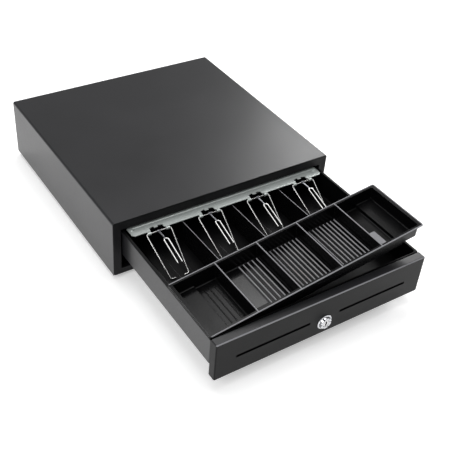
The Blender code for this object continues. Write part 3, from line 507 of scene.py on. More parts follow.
def pan_screws(name):
    """Pan-head screws with a cross recess on every point, heads up before the turn."""
    tree, given = new_tree(name, Head_Radius="Float", Head_Height="Float", Shank_Radius="Float",
                           Length="Float", Turn="Rotation", Finish="Material")
    top, long, wide = (
        add_node(tree, "ShaderNodeMath", {0: given["Head Radius"], 1: share}, operation="MULTIPLY")
        for share in (0.66, 1.05, 0.22))
    head = add_node(tree, "GeometryNodeMeshCone", {
        "Vertices": 28, "Side Segments": 2, "Radius Top": top, "Radius Bottom": given["Head Radius"],
        "Depth": given["Head Height"]})
    size = add_node(tree, "ShaderNodeCombineXYZ", {"X": long, "Y": wide, "Z": given["Head Height"]})
    bar = add_node(tree, "GeometryNodeMeshCube", {"Size": size})
    rise = add_node(tree, "ShaderNodeMath", {0: given["Head Height"], 1: 0.8}, operation="MULTIPLY")
    lift = add_node(tree, "ShaderNodeCombineXYZ", {"Z": rise})
    cross = [
        add_node(tree, "GeometryNodeTransform", {
            "Geometry": bar, "Rotation": (0, 0, turn), "Translation": lift})
        for turn in (0, math.pi / 2)]
    recess = add_node(tree, "GeometryNodeMeshBoolean", {1: cross}, operation="UNION", solver="EXACT")
    cut = add_node(tree, "GeometryNodeMeshBoolean", {0: head, 1: recess},
                   operation="DIFFERENCE", solver="EXACT")
    shank = add_node(tree, "GeometryNodeMeshCylinder", {
        "Vertices": 16, "Radius": given["Shank Radius"], "Depth": given["Length"]})
    down = add_node(tree, "ShaderNodeMath", {0: given["Length"], 1: -0.5}, operation="MULTIPLY")
    drop = add_node(tree, "ShaderNodeCombineXYZ", {"Z": down})
    lowered = add_node(tree, "GeometryNodeTransform", {"Geometry": shank, "Translation": drop})
    screw = add_node(tree, "GeometryNodeJoinGeometry", {0: [cut, lowered]})
    row = add_node(tree, "GeometryNodeInstanceOnPoints", {
        "Points": given["Geometry"], "Instance": screw, "Rotation": given["Turn"]})
    return close_tree(tree, row, given["Finish"])


def pierced_slots(name):
    """Round-ended slots pierced through a sheet along a grid of places."""
    tree, given = new_tree(name, Columns="Int", Rows="Int", Spread="Float", Rise="Float", Length="Float",
                           Width="Float", Centre="Vector", Turn="Rotation", Finish="Material")
    grid = add_node(tree, "GeometryNodeMeshGrid", {
        "Size X": given["Spread"], "Size Y": given["Rise"], "Vertices X": given["Columns"],
        "Vertices Y": given["Rows"]})
    half = add_node(tree, "ShaderNodeMath", {0: given["Width"], 1: 0.5}, operation="MULTIPLY")
    end = add_node(tree, "GeometryNodeMeshCylinder", {"Vertices": 20, "Radius": half, "Depth": 0.02})
    reach = add_node(tree, "ShaderNodeMath", {0: given["Length"], 1: given["Width"]}, operation="SUBTRACT")
    halved = add_node(tree, "ShaderNodeMath", {0: reach, 1: 0.5}, operation="MULTIPLY")
    apart = add_node(tree, "ShaderNodeMath", {0: halved, 1: 0.00001}, operation="MAXIMUM")
    ends = []
    for side in (1.0, -1.0):
        shift = add_node(tree, "ShaderNodeMath", {0: apart, 1: side}, operation="MULTIPLY")
        place = add_node(tree, "ShaderNodeCombineXYZ", {"X": shift})
        ends.append(add_node(tree, "GeometryNodeTransform", {"Geometry": end, "Translation": place}))
    both = add_node(tree, "GeometryNodeJoinGeometry", {0: ends})
    slot = add_node(tree, "GeometryNodeConvexHull", {0: both})
    row = add_node(tree, "GeometryNodeInstanceOnPoints", {"Points": grid, "Instance": slot})
    real = add_node(tree, "GeometryNodeRealizeInstances", {0: row})
    placed = add_node(tree, "GeometryNodeTransform", {
        "Geometry": real, "Translation": given["Centre"], "Rotation": given["Turn"]})
    cut = add_node(tree, "GeometryNodeMeshBoolean", {0: given["Geometry"], 1: placed},
                   operation="DIFFERENCE", solver="EXACT")
    return close_tree(tree, cut, given["Finish"])


def grow(build, shape, **values):
    """Run a tree on a shape with its inputs given by name, and return the plain mesh.

    The tree is built when it is first needed, and has its builder's name.
    """
    thing = loose("grown", shape)
    nodes = thing.modifiers.new("nodes", "NODES")
    tree = bpy.data.node_groups.get(build.__name__) or build(build.__name__)
    nodes.node_group = tree
    for item in tree.interface.items_tree:
        label = item.name.replace(" ", "_")
        if item.in_out == "INPUT" and label in values:
            nodes[item.identifier] = values[label]
    mesh = settle(thing)
    bpy.data.objects.remove(thing, do_unlink=True)
    return mesh


def points_mesh(spots):
    """A mesh of loose points, for what a tree puts on each."""
    mesh = bpy.data.meshes.new("spots")
    mesh.from_pydata([tuple(s) for s in spots], [], [])
    return mesh


# ---------------------------------------------------------------- settings
def length(name, description, default):
    """A size in metres that the user may change."""
    return FloatProperty(name=name, description=description, default=default, min=0.0, max=1.0,
                         unit="LENGTH", subtype="DISTANCE", precision=5)


class CaseSettings(bpy.types.PropertyGroup):
    fold: length("Fold radius", "Outside radius of the cover's folds", 0.004)
    hem: length("Hem radius", "Rolled edge round the front opening", 0.0005)
    vent_length: length("Vent length", "Length of one slot in the back panel", 0.024)
    vent_columns: IntProperty(name="Vent columns", description="Slots across the back panel",
                              default=6, min=1)


class DrawerSettings(bpy.types.PropertyGroup):
    edge: length("Front edge radius", "Rounding round the drawer's face", 0.0020)
    slot_height: length("Slot height", "Height of a media slot", 0.0046)
    box_corner: length("Box corner radius", "Bend radius at the corners of the drawer box", 0.0018)


class TillSettings(bpy.types.PropertyGroup):
    corner: length("Well corner", "Corner radius of the till's wells", 0.005)
    fillet: length("Floor fillet", "Fillet between floor and walls", 0.003)
    floor_ribs: IntProperty(name="Floor ribs", description="Low ribs on the floor of one bill bay",
                            default=3, min=0)


class TraySettings(bpy.types.PropertyGroup):
    corner: length("Pocket corner", "Corner radius of a coin pocket", 0.0022)
    fillet: length("Pocket fillet", "Fillet round a pocket's floor", 0.0022)
    rib_pitch: length("Rib pitch", "Distance between floor ribs", 0.0062)
    rib_height: length("Rib height", "Height of a floor rib", 0.0015)


class ClipSettings(bpy.types.PropertyGroup):
    wire: length("Bail wire radius", "Radius of a bill clip's bail", 0.0011)
    fork: length("Fork wire radius", "Radius of the sprung fork's wire", 0.0013)
    bead: length("Bracket bead", "Height of the bead along the bracket", 0.0009)


class LockSettings(bpy.types.PropertyGroup):
    scallops: IntProperty(name="Scallops", description="Scallops round the lock's bezel", default=6, min=0)
    scallop_depth: length("Scallop depth", "How deep a notch cuts into the bezel", 0.0016)


class StageSettings(bpy.types.PropertyGroup):
    floor: FloatVectorProperty(name="Floor colour", description="Colour of the floor", subtype="COLOR",
                               default=linear("#fbfbfb"), min=0.0, max=1.0)
    lens: FloatProperty(name="Lens", description="Focal length on a 36 mm sensor", default=64.26, min=10.0,
                        unit="CAMERA")
    roll: FloatProperty(name="Roll", description="Roll of the camera", default=math.radians(4.947),
                        subtype="ANGLE")


# ---------------------------------------------------------------- case
class CASHDRAWER_OT_cover(bpy.types.Operator):
    """Folded steel cover: top and both sides in one sheet"""
    bl_idname = "cash_drawer.cover"
    bl_label = "Case cover"

    def execute(self, context):
        case = context.scene.cash_drawer_case
        low, high = CASE_LOW, CASE_HIGH
        steps, below = 8, low.z - 0.1       # only the two upper folds of each outline are kept
        kept = 2 * (steps + 1)
        outside = rounded(low.x, high.x, below, high.z, case.fold, steps)[:kept]
        inside = rounded(low.x + SHEET, high.x - SHEET, below, high.z - SHEET, case.fold - SHEET,
                         steps)[:kept]
        section = [(high.x, low.z), *outside, (low.x, low.z), (low.x + SHEET, low.z), *reversed(inside),
                   (high.x - SHEET, low.z)]
        bm = loft(bmesh.new(), [upright(section, low.y), upright(section, high.y)])
        piece("case_cover", bm, powder_coat(), "case", ["top_cover"], bevel=0.00045)
        return {"FINISHED"}


class CASHDRAWER_OT_front_frame(bpy.types.Operator):
    """Channel-section frame round the drawer's opening"""
    bl_idname = "cash_drawer.front_frame"
    bl_label = "Front frame"

    def execute(self, context):
        case = context.scene.cash_drawer_case
        low, high = box("front_frame")
        side_play, end_play = 0.00275, 0.0037     # between the drawer's face and the mouth
        mouth = (FRONT_LOW.x - side_play, FRONT_HIGH.x + side_play,
                 FRONT_LOW.z - end_play, FRONT_HIGH.z + end_play)
        y0, y1 = low.y, high.y

        def ring(inset, y, corner, at_mouth):
            if at_mouth:
                a, b, c, d = mouth
                spots = rounded(a - inset, b + inset, c - inset, d + inset, corner + inset)
            else:
                spots = rounded(low.x + inset, high.x - inset, low.z + inset, high.z - inset, corner - inset)
            return upright(spots, y)

        hem, groove = case.hem, y0 + 0.0003
        # Corner radius, and whether the ring runs round the mouth or the frame's outside.
        outer, bed, inner = (0.0023, False), (0.006, False), (0.0012, True)
        rings = [ring(inset, y, *kind) for inset, y, kind in (
            (0, y0 + hem, outer), (hem * 0.3, y0 + hem * 0.3, outer), (hem, y0, outer), (0.0042, y0, bed),
            (0.0046, groove, bed), (0.0022, groove, inner), (0.0018, y0, inner), (hem, y0, inner),
            (hem * 0.3, y0 + hem * 0.3, inner), (0, y0 + hem, inner), (0, y1, inner), (SHEET, y1, inner),
            (SHEET, y0 + SHEET + 0.0003, inner), (SHEET, y0 + SHEET + 0.0003, outer), (SHEET, y1, outer),
            (0, y1, outer))]
        bm = loft(bmesh.new(), rings, loop=True)
        # Its coat is darker than the case's: painted shade in the recessed mouth.
        piece("opening_frame", bm, dark_coat(), "case", ["front_frame"])
        return {"FINISHED"}


class CASHDRAWER_OT_case_back(bpy.types.Operator):
    """Back panel with vents, and the base plate with pressed beads"""
    bl_idname = "cash_drawer.case_back"
    bl_label = "Back panel and base"

    def execute(self, context):
        case = context.scene.cash_drawer_case
        low, high = box("back_panel")
        outline = rounded(low.x, high.x, low.z, high.z, 0.0022)
        plate = loft(bmesh.new(), [upright(outline, low.y), upright(outline, high.y)])
        socket_low, socket_high = box("signal_socket")
        past, screw_hole = 0.01, 0.0036     # how far a cutting solid stands past the sheet; a recess's radius
        holes = block(bmesh.new(), (socket_low.x - GAP, low.y - past, socket_low.z - GAP),
                      (socket_high.x + GAP, high.y + past, socket_high.z + GAP), 0.0002)
        screw_places = [(x, z) for x in (-0.19, 0.0, 0.19) for z in (0.022, 0.100)]
        for x, z in screw_places:
            turns = (math.pi * k / 12 for k in range(24))
            ring = [(x + screw_hole * math.cos(a), z + screw_hole * math.sin(a)) for a in turns]
            loft(holes, [upright(ring, low.y - past), upright(ring, high.y + past)])
        vented = grow(pierced_slots, plate, Columns=case.vent_columns, Rows=3, Spread=0.2, Rise=0.014,
                      Length=case.vent_length, Width=0.0022, Centre=(0.03, low.y, 0.079),
                      Turn=(math.pi / 2, 0, 0), Finish=powder_coat())
        piece("rear_panel", vented, powder_coat(), "case", ["back_panel"], [holes],
              bevel=0.0002)

        spots = [(x, high.y - 0.0024, z) for x, z in screw_places]
        heads = grow(pan_screws, points_mesh(spots), Head_Radius=0.0032, Head_Height=0.0022,
                     Shank_Radius=0.0015, Length=0.004, Turn=(-math.pi / 2, 0, 0), Finish=zinc())
        piece("rear_panel_screws", heads, zinc(), "case", smooth=30)

        low, high = box("base_plate")
        wide, deep, flange = high.x, high.y - low.y, high.z - low.z
        fold, cut = 0.002, 0.29     # fold radius, and the share of it that the fold cuts off its corner
        bead_places, bead_width, bead_depth, bead_reach = (-0.075, 0.075), 0.0045, 0.0012, 0.36
        rows, columns = 72, 96
        runs = [-(wide + flange - fold), -(wide + fold),
                *[wide * (2 * i / columns - 1) for i in range(columns + 1)],
                wide + fold, wide + flange - fold]
        bm = bmesh.new()
        grid = []
        for j in range(rows + 1):
            y = low.y + deep * j / rows
            line = []
            for run in runs:
                x = max(-wide, min(wide, run))
                up = max(0.0, abs(run) - wide)
                if up == 0 and abs(x) > wide - fold:
                    x = math.copysign(wide - fold * cut, x)
                    up = fold * cut
                along = max(0.0, abs(y - (low.y + high.y) / 2) - deep * bead_reach)
                bead = max(math.exp(-(math.hypot(x - centre, along) / bead_width) ** 4)
                           for centre in bead_places)
                line.append(bm.verts.new((x, y, low.z + up - bead_depth * bead)))
            grid.append(line)
        for a, b in zip(grid, grid[1:]):
            for i in range(len(a) - 1):
                bm.faces.new((a[i], a[i + 1], b[i + 1], b[i]))
        thing = loose("base", bm)
        wall = thing.modifiers.new("wall", "SOLIDIFY")
        wall.thickness, wall.offset = SHEET, 1.0
        mesh = settle(thing).copy()
        bpy.data.objects.remove(thing, do_unlink=True)
        piece("case_base", mesh, powder_coat(), "case", ["base_plate"])
        return {"FINISHED"}


class CASHDRAWER_OT_feet(bpy.types.Operator):
    """Rubber feet and the screws in their recesses"""
    bl_idname = "cash_drawer.feet"
    bl_label = "Feet"

    def execute(self, context):
        bm = bmesh.new()
        centres = []
        for number in range(1, 5):
            low, high = box(f"foot_{number}")
            centre = Vector(((low.x + high.x) / 2, (low.y + high.y) / 2, 0))
            centres.append(centre)
            top, out = high.z, (high.x - low.x) / 2
            profile = [
                (0.0023, top), (out - 0.0008, top), (out - 0.0002, top - 0.0004), (out, top - 0.0011),
                (out - 0.0005, 0.0030), (out - 0.0011, 0.0026), (out - 0.0009, 0.0021),
                (out - 0.0014, 0.0009), (out - 0.0021, 0.0002), (out - 0.0028, 0.0), (0.0053, 0.0),
                (0.0047, 0.0004), (0.0046, 0.004), (0.0023, 0.004)]
            lathe(bm, profile, centre, closed=True)
        piece("feet", bm, rubber(), "case", [f"foot_{n}" for n in range(1, 5)])
        low, high = box("foot_screw_1")
        seat = 0.0037 - 0.0011      # middle of a head that stands against the recess's end
        heads = grow(pan_screws, points_mesh([(c.x, c.y, seat) for c in centres]), Head_Radius=0.0039,
                     Head_Height=0.0022, Shank_Radius=0.0019, Length=high.z - 0.0026, Turn=(math.pi, 0, 0),
                     Finish=zinc())
        piece("foot_screws", heads, zinc(), "case", [f"foot_screw_{n}" for n in range(1, 5)],
              smooth=30)
        return {"FINISHED"}


class CASHDRAWER_OT_slides(bpy.types.Operator):
    """Telescopic slides: roll-formed members with pierced holes"""
    bl_idname = "cash_drawer.slides"
    bl_label = "Slides"

    def execute(self, context):
        gauge = 0.0012
        for kind, body in (("outer", "case"), ("stand", "case"), ("middle", "slide_middle"),
                           ("inner", "drawer")):
            sides = []
            for name, side in (("left", -1), ("right", 1)):
                low, high = box(f"slide_{kind}_{name}")
                near, tip = (high.x, low.x) if side > 0 else (low.x, high.x)
                inward, middle = -side, (low.y + high.y) / 2
                web, z0, z1 = near - side * gauge / 2, low.z + gauge / 2, high.z - gauge / 2
                stand_x, wall, track = web + inward * 0.010, tip - inward * 0.012, z0 + 0.0092
                channel, axle = [(tip, z1), (web, z1), (web, z0), (tip, z0)], (web, middle, (z0 + z1) / 2)
                line, spot, hole, count, turn = {
                    "outer": (channel, axle, 0.0050, 7, (0, math.pi / 2, 0)),
                    "middle": (channel, axle, 0.0036, 9, (0, math.pi / 2, 0)),
                    "stand": ([(near, z0), (stand_x, z0), (stand_x, z1), (tip, z1)],
                              (near + inward * 0.005, middle, z0), 0.0045, 5, (0, 0, 0)),
                    "inner": ([(web, track), (web, z0), (wall, z0), (wall, z1), (tip, z1)],
                              (tip - inward * 0.006, middle, z1), 0.0042, 5, (0, 0, 0)),
                }[kind]
                section = thick_line(line, gauge, 0.0016)
                member = loft(bmesh.new(), [upright(section, low.y), upright(section, high.y)])
                mesh = grow(pierced_slots, member, Columns=1, Rows=count, Spread=0.0,
                            Rise=(high.y - low.y) * 0.86, Length=hole + 0.00005, Width=hole, Centre=spot,
                            Turn=turn, Finish=zinc())
                sides.append(mesh)
            piece(f"slide_{kind}s", merged(*sides), zinc(), body,
                  [f"slide_{kind}_left", f"slide_{kind}_right"], bevel=0.0002, segments=1)
        return {"FINISHED"}


# ---------------------------------------------------------------- drawer
def slot_cuts(height, y0, y1):
    """Both media slots as cutting solids between two depths."""
    bm = bmesh.new()
    z = FRONT_LOW.z + SLOT_RISE
    for side in (-1, 1):
        near, far = sorted(side * end for end in SLOT_ENDS)
        outline = rounded(near, far, z - height / 2, z + height / 2, 0.0012)
        loft(bm, [upright(outline, y0), upright(outline, y1)])
    return bm


class CASHDRAWER_OT_drawer_front(bpy.types.Operator):
    """Hollow drawer front with rounded edges and two media slots"""
    bl_idname = "cash_drawer.drawer_front"
    bl_label = "Drawer front"

    def execute(self, context):
        drawer = context.scene.cash_drawer_drawer
        low, high, r = FRONT_LOW, FRONT_HIGH, drawer.edge
        skin = SHEET * 1.2

        def ring(inset, y, corner):
            outline = rounded(low.x + inset, high.x - inset, low.z + inset, high.z - inset, corner, 4)
            return upright(outline, y)

        rings = []
        for step in range(7):
            angle = math.pi / 2 * step / 6
            along, corner = r * (1 - math.cos(angle)), max(r * math.sin(angle), 0.0003)
            rings.append(ring(r * (1 - math.sin(angle)), low.y + along, corner))
        rings += [ring(0, high.y - 0.0004, r), ring(0.0004, high.y, r), ring(skin, high.y, 0.001),
                  ring(skin, low.y + skin + 0.0004, 0.001), ring(skin + 0.0008, low.y + skin, 0.0006)]
        bm = loft(bmesh.new(), rings)
        cover = block(bmesh.new(), (low.x + skin + GAP, high.y - 0.0012, low.z + skin + GAP),
                      (high.x - skin - GAP, high.y - 0.0004, BOX_LOW.z + 0.004))
        bm = merged(bm, cover)
        centre, bore = (PLUG_LOW + PLUG_HIGH) / 2, 0.0081
        hole = moved(lathe(bmesh.new(), [(bore, -0.01), (bore, 0.01)]),
                     Matrix.Translation((centre.x, low.y, centre.z)) @ Matrix.Rotation(math.pi / 2, 4, "X"))
        cuts = [slot_cuts(drawer.slot_height, low.y - 0.005, low.y + 0.01), hole]
        # The top takes the case's powder coat: a real, stronger sheen, and in its paler colour a painted
        # highlight. The fold at its front edge takes a pale enamel: a painted highlight line.
        piece("drawer_face", bm, face_coat(), "drawer", ["drawer_front"], cuts, bevel=0.0002,
              accents=[(powder_coat(), lambda face: face.center.z > high.z - r and face.normal.z > 0.3),
                       (edge_enamel(), lambda face: face.center.z > high.z - r and face.center.y < low.y + r
                        and 0.3 < face.normal.z < 0.95)])
        return {"FINISHED"}


class CASHDRAWER_OT_drawer_box(bpy.types.Operator):
    """Open steel box of the drawer, bent from sheet"""
    bl_idname = "cash_drawer.drawer_box"
    bl_label = "Drawer box"

    def execute(self, context):
        drawer = context.scene.cash_drawer_drawer
        low, high, r = BOX_LOW, BOX_HIGH, drawer.box_corner

        def ring(inset, z, corner):
            return level(rounded(low.x + inset, high.x - inset, low.y + inset, high.y - inset, corner), z)

        rings = []
        for step in range(6):
            angle = math.pi / 2 * step / 5
            inset = r * (1 - math.sin(angle))
            rings.append(ring(inset, low.z + r * (1 - math.cos(angle)), max(r - inset, 0.0004)))
        rings += [ring(0, high.z - 0.0003, r), ring(0.0003, high.z, r), ring(SHEET - 0.0003, high.z, 0.0008),
                  ring(SHEET, high.z - 0.0003, 0.0008), ring(SHEET, low.z + SHEET + 0.0008, 0.0008),
                  ring(SHEET + 0.0008, low.z + SHEET, 0.0004)]
        bm = loft(bmesh.new(), rings)
        cuts = [slot_cuts(drawer.slot_height, low.y - 0.005, low.y + 0.006)]
        piece("drawer_tub", bm, powder_coat(), "drawer", ["drawer_box"], cuts)
        return {"FINISHED"}


def clip_centres():
    """Middle of each bill bay, between the dividers."""
    inner = TILL_HIGH.x - 2 * TILL_WALL
    return [-inner + (bay + 0.5) * inner / 2 for bay in range(4)]


class CASHDRAWER_OT_till(bpy.types.Operator):
    """Moulded till: bill section, well for the coin tray, dividers and floor ribs"""
    bl_idname = "cash_drawer.till"
    bl_label = "Till"

    def execute(self, context):
        till = context.scene.cash_drawer_till
        low, high = TILL_LOW, TILL_HIGH
        rim, edge, floor = 0.0015, 0.0004, low.z + TILL_WALL

        bm = loft(bmesh.new(), [
            level(rounded(low.x + in_x, high.x - in_x, low.y + in_y, high.y - in_y, corner), z)
            for in_x, in_y, z, corner in (
                (0.0032, 0.0012, low.z, 0.003), (0.0024, 0.0004, low.z + 0.0006, 0.003),
                (TILL_WALL, 0.0, low.z + 0.0016, 0.003), (TILL_WALL, 0.0, high.z - rim, 0.003),
                (0.0, 0.0, high.z - rim, 0.002), (0.0, 0.0, high.z - edge, 0.002),
                (edge, edge, high.z, 0.002))])
        wells = bmesh.new()
        inner = high.x - 2 * TILL_WALL
        wall_y = DIVIDERS[0][0].y - GAP
        for y0, y1 in ((low.y + TILL_WALL, wall_y - TILL_WALL), (wall_y, high.y - TILL_WALL)):
            bowl(wells, (-inner, y0, floor), (inner, y1, high.z + 0.003), 0.0, till.corner, till.fillet)
        slots = slot_cuts(context.scene.cash_drawer_drawer.slot_height, low.y - 0.003, low.y + 0.005)
        piece("till", bm, matt_abs(), "drawer", ["till_insert"], [wells, slots],
              bevel=0.0004)

        walls = bmesh.new()
        for wall_low, wall_high in DIVIDERS:
            middle = (wall_low.x + wall_high.x) / 2
            half = (wall_high.x - wall_low.x) / 2
            side, fall = half * 0.78, 0.005     # half of the thinner top, and how far it drops to the back
            rings = []
            for step in range(13):
                t = step / 12
                y = wall_low.y + (wall_high.y - wall_low.y) * t
                top = wall_high.z - fall * t
                rings.append([(middle - half, y, wall_low.z), (middle - side, y, top - 0.0006),
                              (middle - side * 0.7, y, top - 0.0001), (middle, y, top),
                              (middle + side * 0.7, y, top - 0.0001), (middle + side, y, top - 0.0006),
                              (middle + half, y, wall_low.z)])
            loft(walls, rings)
        # The dividers' tops take a pale finish: a painted highlight along each top.
        piece("bill_dividers", walls, moulded_abs(), "drawer",
              [f"bill_divider_{n}" for n in (1, 2, 3)], smooth=50,
              accents=[(edge_abs(), lambda face: face.normal.z > 0.4)])

        count = till.floor_ribs
        step = inner / 2 / (count + 1)
        rows = []
        for centre in clip_centres():
            start = (centre - step * (count - 1) / 2, (wall_y + high.y) / 2, floor)
            rows.append(grow(rib_row, points_mesh([]), Count=count, Pitch=step,
                             Length=(high.y - wall_y) * 0.9, Width=0.0016, Height=0.0004, Start=start,
                             Finish=moulded_abs()))
        piece("bill_floor_ribs", merged(*rows), moulded_abs(), "drawer")
        return {"FINISHED"}


# ---------------------------------------------------------------- bill clips
class CASHDRAWER_OT_clip_bracket(bpy.types.Operator):
    """Zinc-plated bracket with a bead, notches and curled tabs for the clips"""
    bl_idname = "cash_drawer.clip_bracket"
    bl_label = "Clip bracket"

    def execute(self, context):
        clips = context.scene.cash_drawer_clips
        low, high = BRACKET_LOW, BRACKET_HIGH
        thick = 0.0012
        top = high.z if high.z - low.z < 0.002 else TILL_HIGH.z + GAP + thick
        under, curl_r = top - thick, 0.0020
        pivot_y, pivot_z = low.y + 0.0026, top - curl_r
        y0, y1 = pivot_y + 0.003, high.y
        # Half a notch, from its mouth to its middle: out from the middle, in from the edge.
        notch = [(0.0128, 0.0), (0.0118, 0.0014), (0.0116, 0.0068), (0.0037, 0.0088), (0.0032, 0.0050)]
        edge = [(low.x + 0.002, y1), (low.x, y1 - 0.002), (low.x, y0 + 0.004), (low.x + 0.004, y0)]
        for centre in clip_centres():
            edge += [(centre - out, y0 + deep) for out, deep in notch]
            edge += [(centre + out, y0 + deep) for out, deep in reversed(notch)]
        edge += [(high.x - 0.004, y0), (high.x, y0 + 0.004), (high.x, y1 - 0.002), (high.x - 0.002, y1)]
        plate = loft(bmesh.new(), [level(edge, under), level(edge, top)])
        start, end = low.x + 0.006, high.x - 0.006
        bead_y, bead_z, half_bead = y1 - 0.0042, top - 0.0002, 0.0022
        arch = [math.pi * k / 8 for k in range(9)]
        bead = loft(bmesh.new(), [
            [(x, bead_y + half_bead * size * math.cos(a), bead_z + clips.bead * size * math.sin(a))
             for a in arch]
            for x, size in ((start, 0.15), (start + 0.0006, 0.7), (start + 0.002, 1.0),
                            (end - 0.002, 1.0), (end - 0.0006, 0.7), (end, 0.15))])
        line = [(y0 + 0.0012, top - thick / 2 + 0.0001)]
        for step in range(13):
            angle = math.radians(75 + 190 * step / 12)
            line.append((pivot_y + curl_r * math.cos(angle), pivot_z + curl_r * math.sin(angle)))
        section = thick_line(line, 0.0009, 0.0003)
        curls, half_tab, tab_x = bmesh.new(), 0.0030, 0.0162
        for centre in clip_centres():
            for x in (centre - tab_x, centre + tab_x):
                loft(curls, [sideways(section, x - half_tab), sideways(section, x + half_tab)])
        piece("clip_rail", merged(plate, bead, curls), zinc(), "drawer", ["clip_bracket"],
              bevel=0.0002)
        spots = []
        for name in ("left", "right"):
            a, b = box(f"bracket_screw_{name}")
            spots.append(((a.x + b.x) / 2, (a.y + b.y) / 2, top))
        heads = grow(pan_screws, points_mesh(spots), Head_Radius=0.0028, Head_Height=0.0020,
                     Shank_Radius=0.0014, Length=0.0022, Turn=(0, 0, 0.4), Finish=zinc())
        piece("clip_rail_screws", heads, zinc(), "drawer",
              ["bracket_screw_left", "bracket_screw_right"], smooth=30)
        return {"FINISHED"}


class CASHDRAWER_OT_bill_clips(bpy.types.Operator):
    """Four clips: a bent wire bail and a sprung arm with a wire fork"""
    bl_idname = "cash_drawer.bill_clips"
    bl_label = "Bill clips"

    def execute(self, context):
        clips = context.scene.cash_drawer_clips
        floor = TILL_LOW.z + TILL_WALL
        for number, centre in enumerate(clip_centres(), 1):
            low, high = box(f"clip_wire_{number}")
            wire = clips.wire
            pivot = Vector((centre, high.y - wire, high.z - wire))
            foot = floor + 0.0006 + wire - pivot.z
            reach = low.y - pivot.y + wire
            top, toe, turned_in = 0.0215, 0.0155, 0.008
            half = [(top, 0, 0), (toe, reach, foot), (toe - turned_in, reach, foot)]
            line = [Vector((-x, y, z)) for x, y, z in reversed(half)] + [Vector(p) for p in half]
            bail = sweep(bmesh.new(), [p + pivot for p in bend(line, 0.0035, 8)], wire)
            piece(f"clip_bail_{number}", bail, nickel_wire(), f"bill_clip_{number}",
                  [f"clip_wire_{number}"], smooth=60)

            inner, half_ring = wire + GAP, 0.0030
            curl_r = inner + 0.0004
            line = []
            for step in range(25):
                angle = math.radians(-96 - 330 * step / 24)
                line.append((pivot.y + curl_r * math.cos(angle), pivot.z + curl_r * math.sin(angle)))
            section = thick_line(line, 0.0008, 0.0002)
            ring = loft(bmesh.new(), [sideways(section, centre - half_ring),
                                      sideways(section, centre + half_ring)])
            # The strap's section, low edge first: share of its half width, height above its middle.
            section = [(-1, -0.0004), (1, -0.0004), (1, 0.0004),
                       (0.55, 0.0007), (-0.55, 0.0007), (-1, 0.0004)]
            strap = loft(bmesh.new(), [
                [(centre + half_w * share, pivot.y + y, pivot.z + z + rise) for share, rise in section]
                for y, half_w, z in ((-inner - 0.0002, 0.0019, 0.0), (-0.004, 0.0015, 0.0001),
                                     (-0.012, 0.0013, 0.0), (-0.0185, 0.0012, -0.0001),
                                     (-0.0200, 0.0019, -0.0001), (-0.0222, 0.0019, -0.0001))])
            piece(f"clip_strap_{number}", merged(ring, strap), spring_steel(), f"bill_clip_{number}",
                  bevel=0.00015, smooth=40)

            half_fork, apex = 0.0037, -0.0205
            tips = [Vector((side * half_fork, -0.066, -0.0125)) for side in (1, -1)]
            bow = [Vector((half_fork * math.cos(a), apex - half_fork + half_fork * math.sin(a), 0))
                   for a in (math.pi * k / 14 for k in range(15))]
            path = bend([tips[0], *bow, tips[1]], 0.0006, 2)
            fork = sweep(bmesh.new(), [p + pivot for p in path], clips.fork, 14)
            piece(f"clip_fork_{number}", fork, nickel_wire(), f"bill_clip_{number}",
                  [f"clip_arm_{number}"], smooth=60)
        return {"FINISHED"}


